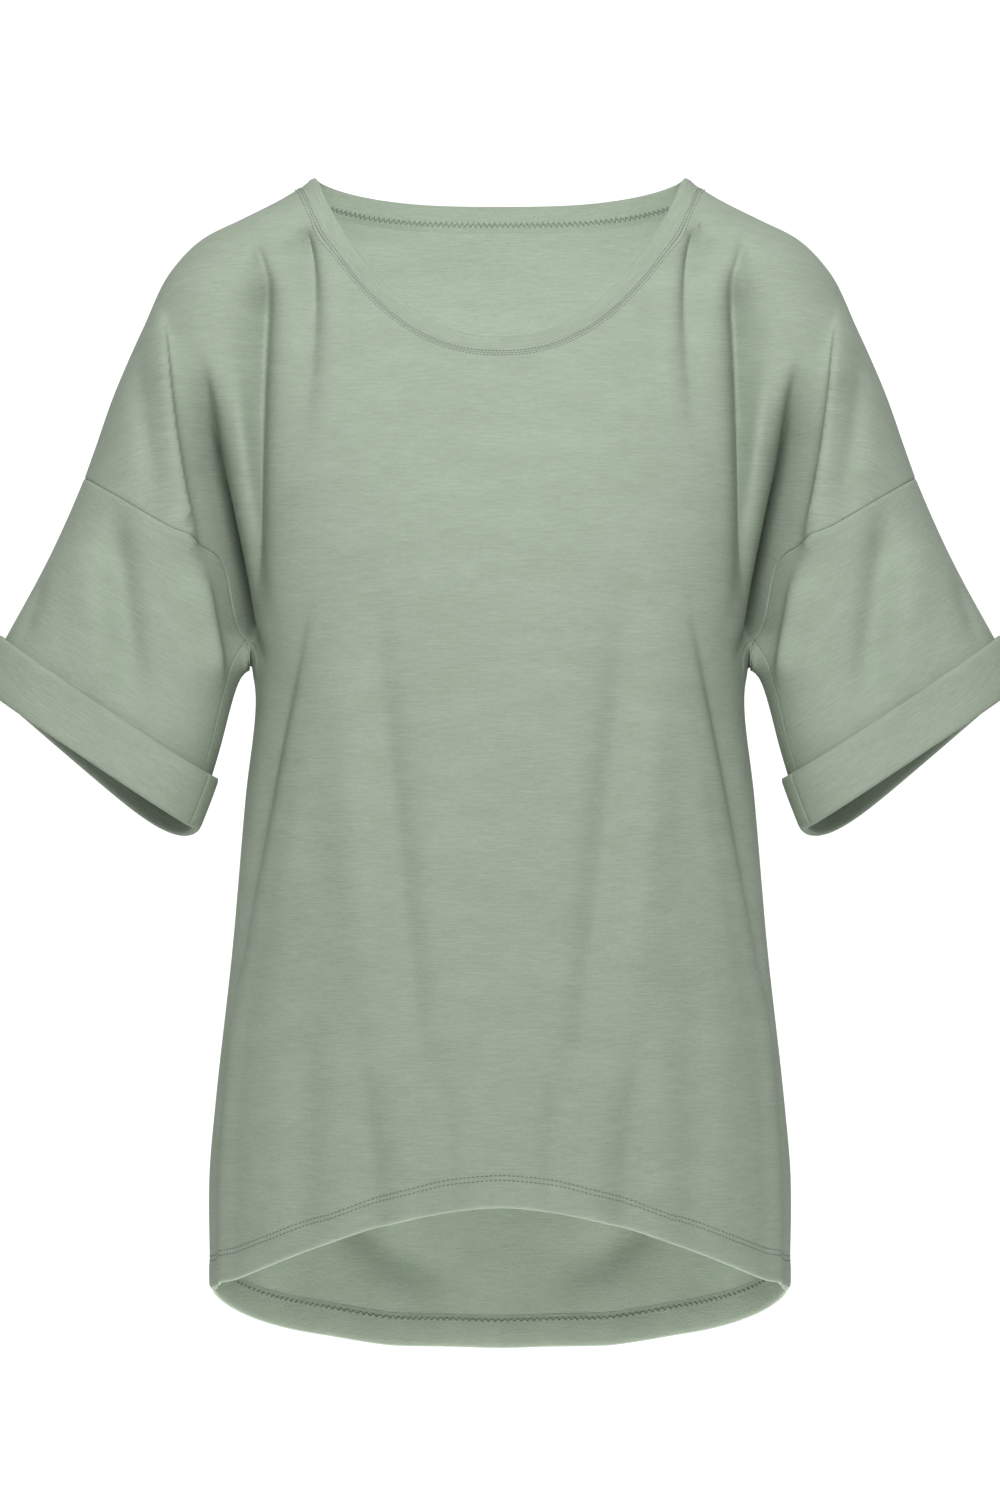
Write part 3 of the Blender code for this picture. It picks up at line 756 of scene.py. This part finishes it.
def lines_in(cloth, inward):
    """Lines of a cloth array at distances in from its first line, one per distance."""
    lines = min(len(cloth), 24)
    step = np.linalg.norm(np.diff(cloth[:lines, :, :3], axis=0), axis=-1)
    reach = np.concatenate([np.zeros((1, cloth.shape[1])), np.cumsum(step, axis=0)])
    made = []
    station = np.arange(cloth.shape[1])
    for distance in inward:
        wanted = np.broadcast_to(distance, station.shape)
        low = np.clip((reach[1:] <= wanted).sum(axis=0), 0, lines - 2)
        span = np.maximum(reach[low + 1, station] - reach[low, station], 1e-6)
        u = ((wanted - reach[low, station]) / span)[:, None]
        made.append(cloth[low, station] * (1 - u) + cloth[low + 1, station] * u)
    kept = int(np.argmax((reach > max(np.max(d) for d in inward) + 0.5).all(axis=1)))
    return np.array(made), kept


def edged(cloth, profile, taper=None):
    """A cloth array whose first lines are laid again by a profile of distances in from the
    edge and depths behind the surface, past the edge and along the cloth turned in."""
    turn = int(np.argmin(profile["inward"]))
    taper = np.ones(cloth.shape[1]) if taper is None else taper
    inward = [
        row["inward"] * (taper if k > turn else 1) for k, row in enumerate(profile)
    ]
    lines, kept = lines_in(cloth, inward)
    lines[..., 3] += profile["depth"][:, None]
    return np.concatenate([lines[::-1], cloth[kept:]])


def edged_at(cloth, side, profile, taper=None):
    """The same at the top, bottom, left or right edge."""
    turned = {
        "top": cloth,
        "bottom": cloth[::-1],
        "left": cloth.swapaxes(0, 1),
        "right": cloth[:, ::-1].swapaxes(0, 1),
    }[side]
    made = edged(turned, profile, taper)
    return {
        "top": made,
        "bottom": made[::-1],
        "left": made.swapaxes(0, 1),
        "right": made.swapaxes(0, 1)[:, ::-1],
    }[side]


def cloth_piece(name, points, flat, wall=None, ring=False):
    """A sheet of jersey through a grid of points in millimetres, with its flat places as its
    UV map in metres. A ring's first and last columns are one."""
    rows, columns = points.shape[:2]
    mesh = bmesh.new()
    bmesh.ops.create_grid(mesh, x_segments=columns - 1, y_segments=rows - 1, size=0.5)
    data = bpy.data.meshes.new(name)
    mesh.to_mesh(data)
    mesh.free()
    data.vertices.foreach_set("co", (points * MM).ravel())
    corners = np.empty(len(data.loops), dtype=np.int32)
    data.loops.foreach_get("vertex_index", corners)
    places = data.uv_layers.new(name="cloth")
    places.data.foreach_set("uv", (flat.reshape(-1, 2)[corners] * MM).ravel())
    mesh = bmesh.new()
    mesh.from_mesh(data)
    if ring:
        bmesh.ops.remove_doubles(mesh, verts=mesh.verts[:], dist=1e-7)
    mesh.normal_update()
    middle = rows // 3 * (columns - 1) + columns // 4
    mesh.faces.ensure_lookup_table()
    face = mesh.faces[middle]
    out = gradient(np.array(face.calc_center_median()) / MM)
    if face.normal.dot(Vector(out)) < 0:
        bmesh.ops.reverse_faces(mesh, faces=mesh.faces[:])
    mesh.to_mesh(data)
    mesh.free()
    data.shade_smooth()
    piece = bpy.data.objects.new(name, data)
    bpy.context.scene.collection.objects.link(piece)
    if wall:
        shell = piece.modifiers.new("jersey wall", "SOLIDIFY")
        shell.thickness = wall
        shell.offset = -1
    data.materials.append(jersey())
    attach(piece, "root")
    return piece


def panel_cloth(side, neck_cells):
    """A whole panel as a cloth array, before its edges are turned."""
    grid = mirrored(half_panel(side, neck_cells))
    return with_cloth(grid, laid_flat(grid))


def sewn_panel(cloth):
    """A panel with its side, armhole, shoulder and neck seams and its turned-up hem."""
    rows = len(cloth)
    corner = ARMHOLE_CELLS * FINE_ROWS
    taper = np.clip(np.abs(np.arange(rows) - corner) / 12, 0.05, 1)
    for side in ("left", "right"):
        cloth = edged_at(cloth, side, SEAM, taper)
    cloth = edged_at(cloth, "top", FLAT_SEAM)
    return edged_at(cloth, "bottom", HEM)


def sleeve_end(angle, short):
    """The reach of the sleeve's end at an angle, or that much short of it."""
    reach = SLEEVE_END_REACH - short
    for _ in range(3):
        point = arm_point(reach, angle)
        across = to_arm(point)[1]
        back = (point[..., 1] - arm_row(reach, "lean")) / arm_row(reach, "half_depth")
        drop = SLEEVE_BACK_DROP * (SLEEVE_BACK_DROP_END - across) * np.maximum(back, 0)
        reach = SLEEVE_END_REACH - short - SLEEVE_END_RAKE * across + drop
    return reach


def sleeve_angles():
    """Stations from the underarm seam round the front, over the top and round the back."""
    front, back = armhole_angles(-1, FINE_ROWS), armhole_angles(1, FINE_ROWS)
    return np.concatenate([front[::-1], back[1:] - 2 * math.pi])


def sleeve_cloth():
    """The right sleeve from its armhole seam to its end, as a cloth array."""
    angles = sleeve_angles()
    first = armhole(angles)
    begin, end = armhole_reach(angles), sleeve_end(angles, 0)
    shift = to_arm(first)[0] - begin
    u = np.linspace(0, 1, SLEEVE_ROWS + 1)[:, None]
    reach = begin + shift * (1 - u) + (end - begin) * u
    grid = settle(arm_point(reach, np.broadcast_to(angles, reach.shape)))
    grid[0] = first
    round_arm = np.linalg.norm(np.diff(grid, axis=1), axis=-1)
    across = np.concatenate([np.zeros((len(grid), 1)), np.cumsum(round_arm, axis=1)], axis=1)
    across -= across[:, len(angles) // 2 : len(angles) // 2 + 1]
    flat = np.stack([across, 1000 - reach], axis=-1)
    return with_cloth(grid, flat)


def cuff_cloth():
    """The right sleeve's turned-up cuff, as a cloth array."""
    angles = sleeve_angles()
    made = []
    for row in CUFF:
        ring = settle(arm_point(sleeve_end(angles, row["short"]), angles))
        made.append(ring)
    grid = np.array(made)
    round_arm = np.linalg.norm(np.diff(grid, axis=1), axis=-1)
    across = np.concatenate([np.zeros((len(grid), 1)), np.cumsum(round_arm, axis=1)], axis=1)
    across -= across[:, len(angles) // 2 : len(angles) // 2 + 1]
    out = np.broadcast_to(CUFF["out"][:, None], grid.shape[:2])
    travel = np.hypot(np.diff(CUFF["short"]), np.diff(CUFF["out"]))
    travel = np.concatenate([[0], np.cumsum(travel)])
    up = np.broadcast_to(travel[:, None], grid.shape[:2])
    flat = np.stack([across, up], axis=-1)
    cloth = with_cloth(grid, flat)
    cloth[..., 3] = -out
    return cloth


def band_cloth():
    """The neckband as a cloth array whose rows run round the neck."""
    rows = []
    for row in BAND:
        front = neck_line(-1, row["inset"], NECK_CELLS * FINE_COLUMNS)
        back = neck_line(1, row["inset"], BACK_NECK_CELLS * FINE_COLUMNS)
        half = np.concatenate([front[::-1], back[1:]])
        rows.append(np.concatenate([half, half[-2::-1] * (-1, 1, 1)]))
    grid = np.array(rows)
    # The free edge runs round the shoulder points instead of meeting in a corner there
    smooth = grid.copy()
    for _ in range(POINT_ROUNDS):
        smooth[:, 1:-1] = (smooth[:, :-2] + 2 * smooth[:, 1:-1] + smooth[:, 2:]) / 4
    station = np.arange(grid.shape[1])
    away = np.abs(np.abs(station - len(half) + 1) - len(back) + 1)
    weight = np.exp(-((away / POINT_REACH) ** 2)) * np.clip(
        1 - BAND["inset"][:, None] / BAND_WIDTH, 0, 1
    )
    grid += weight[..., None] * (smooth - grid)
    step = np.linalg.norm(np.diff(grid, axis=1), axis=-1)
    across = np.concatenate([np.zeros((len(grid), 1)), np.cumsum(step, axis=1)], axis=1)
    travel = np.hypot(np.diff(BAND["inset"]), np.diff(BAND["out"]))
    up = np.concatenate([[0], np.cumsum(travel)])
    flat = np.stack([across, np.broadcast_to(up[:, None], across.shape)], axis=-1)
    cloth = with_cloth(grid, flat)
    cloth[..., 3] = -BAND["out"][:, None]
    return cloth


def node(tree, kind, links=None, **settings):
    """A node with its settings, and its inputs linked or given values."""
    made = tree.nodes.new(kind)
    for name, value in settings.items():
        setattr(made, name, value)
    for name, value in (links or {}).items():
        if isinstance(value, bpy.types.NodeSocket):
            tree.links.new(value, made.inputs[name])
        else:
            made.inputs[name].default_value = value
    return made


def linear(colour):
    """An sRGB hex colour as linear RGBA."""
    parts = [int(colour[k : k + 2], 16) / 255 for k in (0, 2, 4)]
    return [((c + 0.055) / 1.055) ** 2.4 if c > 0.04045 else c / 12.92 for c in parts] + [1]


def ramp(tree, factor, *stops):
    """A colour ramp through (place, linear colour) stops."""
    made = node(tree, "ShaderNodeValToRGB", {"Fac": factor})
    points = made.color_ramp.elements
    while len(points) < len(stops):
        points.new(0.5)
    for point, (place, colour) in zip(points, stops):
        point.position, point.color = place, colour
    return made.outputs["Color"]


def yarn_noise(tree, place, length, height, detail, roughness=0.6):
    """Noise drawn out along the courses: its length and height in metres."""
    scaled = node(
        tree,
        "ShaderNodeMapping",
        {"Vector": place, "Scale": (1 / length, 1 / height, 1)},
    )
    made = node(
        tree,
        "ShaderNodeTexNoise",
        {
            "Vector": scaled.outputs[0],
            "Scale": 1.0,
            "Detail": detail,
            "Roughness": roughness,
        },
        noise_dimensions="2D",
    )
    return made.outputs["Fac"]


def jersey():
    """Knitted cotton slub jersey, garment dyed: uneven yarn leaves short pale and dark streaks
    along the courses, and the brushed face is wholly matte."""
    found = bpy.data.materials.get("slub_cotton_jersey")
    if found:
        return found
    colours = bpy.context.scene.shirt_colours
    material = bpy.data.materials.new("slub_cotton_jersey")
    material.use_nodes = True
    tree = material.node_tree
    shader = tree.nodes["Principled BSDF"]
    place = node(tree, "ShaderNodeUVMap", uv_map="cloth").outputs["UV"]
    # A slub is 5 to 20 mm long and one or two courses high, about 1 mm
    streaks = yarn_noise(tree, place, 0.013, 0.0013, 3)
    threads = yarn_noise(tree, place, 0.0035, 0.0008, 2)
    clouds = yarn_noise(tree, place, 0.060, 0.018, 3)
    slubs = yarn_noise(tree, place, 0.026, 0.0016, 1)
    mixed = node(
        tree, "ShaderNodeMix", {"Factor": 0.4, "A": streaks, "B": threads}, data_type="FLOAT"
    ).outputs["Result"]
    mixed = node(
        tree, "ShaderNodeMix", {"Factor": 0.28, "A": mixed, "B": clouds}, data_type="FLOAT"
    ).outputs["Result"]
    body = ramp(
        tree,
        mixed,
        (0.30, linear(colours.dark)),
        (0.50, linear(colours.main)),
        (0.72, linear(colours.light)),
    )
    pale = ramp(tree, slubs, (0.66, (0, 0, 0, 1)), (0.80, (1, 1, 1, 1)))
    pale = node(tree, "ShaderNodeMath", {0: pale, 1: 0.55}, operation="MULTIPLY").outputs[0]
    colour = node(
        tree,
        "ShaderNodeMix",
        {"Factor": pale, "A": body, "B": linear(colours.light)},
        data_type="RGBA",
    )
    tree.links.new(colour.outputs["Result"], shader.inputs["Base Color"])
    shader.inputs["Roughness"].default_value = 0.92
    shader.inputs["Specular IOR Level"].default_value = 0.1
    shader.inputs["Sheen Weight"].default_value = 0.03
    shader.inputs["Sheen Roughness"].default_value = 0.6
    # Wales, the columns of loops, are 0.9 mm apart; drawn at 1.8 mm to show
    scaled = node(
        tree,
        "ShaderNodeMapping",
        {"Vector": place, "Scale": (1 / 0.0018, 1 / 0.0013, 1)},
    )
    loops = node(
        tree,
        "ShaderNodeTexNoise",
        {"Vector": scaled.outputs[0], "Scale": 1.0, "Detail": 1.0},
        noise_dimensions="2D",
    ).outputs["Fac"]
    height = node(
        tree, "ShaderNodeMix", {"Factor": 0.5, "A": mixed, "B": loops}, data_type="FLOAT"
    ).outputs["Result"]
    bump = node(
        tree, "ShaderNodeBump", {"Height": height, "Distance": 0.0004, "Strength": 0.7}
    )
    tree.links.new(bump.outputs["Normal"], shader.inputs["Normal"])
    return material


def sewing_thread():
    """Spun polyester sewing thread, dyed to match: its colour is darker than the jersey, partly
    as painted shade for the shadows in and around the stitch holes. Matte with a soft gloss along
    the twist."""
    found = bpy.data.materials.get("spun_polyester_thread")
    if found:
        return found
    material = bpy.data.materials.new("spun_polyester_thread")
    material.use_nodes = True
    tree = material.node_tree
    shader = tree.nodes["Principled BSDF"]
    # This colour carries painted shade: it is darker partly to stand for the shadows of the
    # stitch holes
    thread_with_painted_shade = linear(bpy.context.scene.shirt_colours.thread)
    where = node(tree, "ShaderNodeTexCoord").outputs["Object"]
    twist = node(
        tree, "ShaderNodeTexNoise", {"Vector": where, "Scale": 1500.0, "Detail": 1.0}
    ).outputs["Fac"]
    darker = [c * 0.75 for c in thread_with_painted_shade[:3]] + [1]
    colour = ramp(tree, twist, (0.35, darker), (0.65, thread_with_painted_shade))
    tree.links.new(colour, shader.inputs["Base Color"])
    shader.inputs["Roughness"].default_value = 0.7
    return material


def stitch_lines(points, out, length, gap):
    """Runs of four points, one run a stitch, along a line; its ends dip into the cloth."""
    step = np.linalg.norm(np.diff(points, axis=0), axis=1)
    reach = np.concatenate([[0], np.cumsum(step)])
    count = int(reach[-1] // length)
    pitch = reach[-1] / count
    runs = []
    for k in range(count):
        places = k * pitch + pitch * np.array([gap / 2, 0.3, 0.7, 1 - gap / 2])
        run = np.stack([np.interp(places, reach, points[:, a]) for a in range(3)], axis=-1)
        away = np.stack([np.interp(places, reach, out[:, a]) for a in range(3)], axis=-1)
        run += away * np.array([-0.35, 0.12, 0.12, -0.35])[:, None]
        runs.append(run)
    return runs


def zigzag(upper, lower, length):
    """One run of thread going to and fro between two lines."""
    step = np.linalg.norm(np.diff(upper, axis=0), axis=1)
    reach = np.concatenate([[0], np.cumsum(step)])
    count = int(reach[-1] // length)
    places = np.linspace(0, reach[-1], count + 1)
    rows = [
        np.stack([np.interp(places, reach, line[:, a]) for a in range(3)], axis=-1)
        for line in (upper, lower)
    ]
    return [np.where((np.arange(count + 1) % 2 == 0)[:, None], rows[0], rows[1])]


def thread_piece(name, runs, carrier):
    """Thread laid along runs of points in millimetres."""
    curve = bpy.data.curves.new(name, "CURVE")
    curve.dimensions = "3D"
    curve.bevel_depth = bpy.context.scene.shirt_sizes.thread
    curve.bevel_resolution = 0
    curve.use_fill_caps = True
    for run in runs:
        spline = curve.splines.new("POLY")
        spline.points.add(len(run) - 1)
        four = np.concatenate([run * MM, np.ones((len(run), 1))], axis=1)
        spline.points.foreach_set("co", four.ravel())
    curve.materials.append(sewing_thread())
    piece = bpy.data.objects.new(name, curve)
    bpy.context.scene.collection.objects.link(piece)
    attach(piece, "root")
    return piece


def surface_line(base, depth):
    """A line of base points on the cloth at a depth, and the way out of it."""
    at, above = raised(base, -depth), raised(base, -depth + 1)
    return at, above - at


def hem_depth(inward, inside=False):
    """The hem profile's depth at a distance in from its edge, outside or inside."""
    turn = int(np.argmin(HEM["inward"]))
    rows = HEM[turn:] if inside else HEM[: turn + 1][::-1]
    return float(np.interp(inward, rows["inward"], rows["depth"]))


PIECES = {}


class SHIRT_OT_panels(bpy.types.Operator):
    """Lay the front and the back, with their seams and turned-up hems"""

    bl_idname = "shirt.panels"
    bl_label = "Front and back"

    def execute(self, context):
        wall = context.scene.shirt_sizes.wall
        for name, side, cells in (("front", -1, NECK_CELLS), ("back", 1, BACK_NECK_CELLS)):
            plain = panel_cloth(side, cells)
            PIECES[name] = plain
            cloth = sewn_panel(plain)
            points = raised(cloth[..., :3], -cloth[..., 3])
            piece = cloth_piece(f"{name}_jersey", points, cloth[..., 4:], wall)
            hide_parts(name)
        return {"FINISHED"}


class SHIRT_OT_sleeves(bpy.types.Operator):
    """Lay both sleeves, seamed under the arm"""

    bl_idname = "shirt.sleeves"
    bl_label = "Sleeves"

    def execute(self, context):
        wall = context.scene.shirt_sizes.wall
        plain = sleeve_cloth()
        cloth = edged_at(plain, "left", FLAT_SEAM)
        cloth = edged_at(cloth, "right", FLAT_SEAM)
        cloth = edged_at(cloth, "top", SEAM)
        points = raised(cloth[..., :3], -cloth[..., 3])
        for word, hand in (("right", -1), ("left", 1)):
            turned = points * (-hand, 1, 1)
            piece = cloth_piece(f"sleeve_{word}_jersey", turned, cloth[..., 4:], wall)
            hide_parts(f"sleeve_{word}")
        return {"FINISHED"}


class SHIRT_OT_cuffs(bpy.types.Operator):
    """Turn up the cuff at each sleeve's end"""

    bl_idname = "shirt.cuffs"
    bl_label = "Cuffs"

    def execute(self, context):
        wall = context.scene.shirt_sizes.wall
        cloth = cuff_cloth()
        for side in ("left", "right"):
            cloth = edged_at(cloth, side, SEAM[:5])
        points = raised(cloth[..., :3], -cloth[..., 3])
        for word, hand in (("right", -1), ("left", 1)):
            turned = points * (-hand, 1, 1)
            piece = cloth_piece(f"cuff_{word}_jersey", turned, cloth[..., 4:], wall)
            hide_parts(f"cuff_{word}")
        return {"FINISHED"}


class SHIRT_OT_neckband(bpy.types.Operator):
    """Fold and lay the neckband"""

    bl_idname = "shirt.neckband"
    bl_label = "Neckband"

    def execute(self, context):
        wall = context.scene.shirt_sizes.wall
        cloth = band_cloth()
        points = raised(cloth[..., :3], -cloth[..., 3])
        piece = cloth_piece("neckband_jersey", points, cloth[..., 4:], wall, ring=True)
        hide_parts("neckband")
        return {"FINISHED"}


class SHIRT_OT_stitching(bpy.types.Operator):
    """Sew the hems and the neck seam"""

    bl_idname = "shirt.stitching"
    bl_label = "Stitching"

    def execute(self, context):
        length = context.scene.shirt_sizes.stitch / MM
        for name in ("front", "back"):
            upside_down = PIECES[name][::-1]
            runs = []
            rows, _ = lines_in(upside_down, NEEDLE_ROWS)
            for row, inward in zip(rows, NEEDLE_ROWS):
                at, out = surface_line(row[:, :3], hem_depth(inward) - 0.1)
                runs += stitch_lines(at, out, length, 0.42)
            inside, _ = lines_in(upside_down, (NEEDLE_ROWS[0] - 0.4, NEEDLE_ROWS[1] + 0.4))
            upper, lower = (
                raised(row[:, :3], -depth) for row, depth in zip(inside, (1.35, 1.65))
            )
            runs += zigzag(upper, lower, 2.2)
            thread_piece(f"hem_stitches_{name}", runs, f"{name}_jersey")
        runs = []
        for side, cells in ((-1, NECK_CELLS), (1, BACK_NECK_CELLS)):
            for inset, depth in ((BAND_WIDTH + 1.5, 0.05), (BAND_WIDTH - 1.6, 0.1)):
                half = neck_line(side, inset, cells * FINE_COLUMNS)
                line = np.concatenate([half, half[-2::-1] * (-1, 1, 1)])
                at, out = surface_line(line, depth)
                runs += stitch_lines(at, out, length * 0.8, 0.42)
            ends = []
            for inset in (BAND_WIDTH + 1.6, BAND_WIDTH - 1.4):
                half = neck_line(side, inset, cells * FINE_COLUMNS)
                line = np.concatenate([half, half[-2::-1] * (-1, 1, 1)])
                ends.append(raised(line, -2.5))
            runs += zigzag(*ends, 1.8)
        thread_piece("neck_stitches", runs, "neckband_jersey")
        return {"FINISHED"}


def area_light(name, place, target, width, height, power_watts):
    """A soft square light turned to a point."""
    light = bpy.data.lights.new(name, "AREA")
    light.shape = "RECTANGLE"
    light.size, light.size_y = width, height
    light.energy = power_watts
    lamp = bpy.data.objects.new(name, light)
    lamp.location = place
    lamp.rotation_euler = (Vector(target) - Vector(place)).to_track_quat("-Z", "Y").to_euler()
    bpy.context.scene.collection.objects.link(lamp)
    return lamp


class SHIRT_OT_stage(bpy.types.Operator):
    """Set the pale floor, the soft studio light and the camera"""

    bl_idname = "shirt.stage"
    bl_label = "Floor, light and camera"

    def execute(self, context):
        scene = context.scene
        mesh = bmesh.new()
        bmesh.ops.create_circle(mesh, cap_ends=True, segments=96, radius=3.2)
        bmesh.ops.translate(mesh, verts=mesh.verts[:], vec=(0, 0, -1.4))
        data = bpy.data.meshes.new("floor")
        mesh.to_mesh(data)
        mesh.free()
        floor = bpy.data.objects.new("floor", data)
        scene.collection.objects.link(floor)
        paint = bpy.data.materials.new("matt_white_floor_paint")
        paint.use_nodes = True
        shader = paint.node_tree.nodes["Principled BSDF"]
        shader.inputs["Base Color"].default_value = linear("F2F2F0")
        shader.inputs["Roughness"].default_value = 0.9
        data.materials.append(paint)
        sky = bpy.data.worlds.new("studio")
        scene.world = sky
        sky.use_nodes = True
        # A white wall behind the shirt, and a dimmer room in front of it
        tree = sky.node_tree
        direction = node(tree, "ShaderNodeTexCoord").outputs["Generated"]
        away = node(tree, "ShaderNodeSeparateXYZ", {"Vector": direction}).outputs["Y"]
        white = node(
            tree,
            "ShaderNodeMapRange",
            {"Value": away, "From Min": -0.2, "From Max": 0.7, "To Min": 0.13, "To Max": 1.15},
            interpolation_type="SMOOTHSTEP",
        )
        background = tree.nodes["Background"]
        background.inputs["Color"].default_value = (1, 1, 1, 1)
        tree.links.new(white.outputs["Result"], background.inputs["Strength"])
        area_light("high softbox", (0, -1.6, 0.75), (0, 0, -0.2), 1.1, 0.9, 38)
        area_light("floor softbox", (0, -0.12, -1.3), (0, 0, 0), 0.8, 0.3, 5.5)
        area_light("neck lamp", (0, -0.04, -0.5), (0, 0.09, -0.06), 0.16, 0.08, 0.95)
        camera = bpy.data.cameras.new("photo")
        camera.sensor_fit = "HORIZONTAL"
        camera.sensor_width = 36
        camera.lens = 36 * 3.2 / 0.65
        viewer = bpy.data.objects.new("photo", camera)
        viewer.location = (0, -3.2, -0.3705)
        viewer.rotation_euler = (math.pi / 2, 0, 0)
        scene.collection.objects.link(viewer)
        scene.camera = viewer
        scene.view_settings.view_transform = "Standard"
        return {"FINISHED"}


STEPS = (
    SHIRT_OT_stage,
    SHIRT_OT_neckband,
    SHIRT_OT_panels,
    SHIRT_OT_sleeves,
    SHIRT_OT_cuffs,
    SHIRT_OT_stitching,
)


class SHIRT_PT_steps(bpy.types.Panel):
    """The steps that make the t-shirt"""

    bl_label = "T-Shirt"
    bl_idname = "SHIRT_PT_steps"
    bl_space_type = "VIEW_3D"
    bl_region_type = "UI"
    bl_category = "T-Shirt"

    def draw(self, context):
        layout = self.layout
        for group in (context.scene.shirt_sizes, context.scene.shirt_colours):
            for name in group.__annotations__:
                layout.prop(group, name)
        for step in STEPS:
            layout.operator(step.bl_idname)


def register():
    for kind in (ShirtSizes, ShirtColours, *STEPS, SHIRT_PT_steps):
        bpy.utils.register_class(kind)
    bpy.types.Scene.shirt_sizes = bpy.props.PointerProperty(type=ShirtSizes)
    bpy.types.Scene.shirt_colours = bpy.props.PointerProperty(type=ShirtColours)


def unregister():
    del bpy.types.Scene.shirt_sizes, bpy.types.Scene.shirt_colours
    for kind in (ShirtSizes, ShirtColours, *STEPS, SHIRT_PT_steps):
        bpy.utils.unregister_class(kind)


def main():
    register()
    for step in STEPS:
        group, name = step.bl_idname.split(".")
        getattr(getattr(bpy.ops, group), name)()
    bpy.context.view_layer.update()


if __name__ == "__main__":
    main()
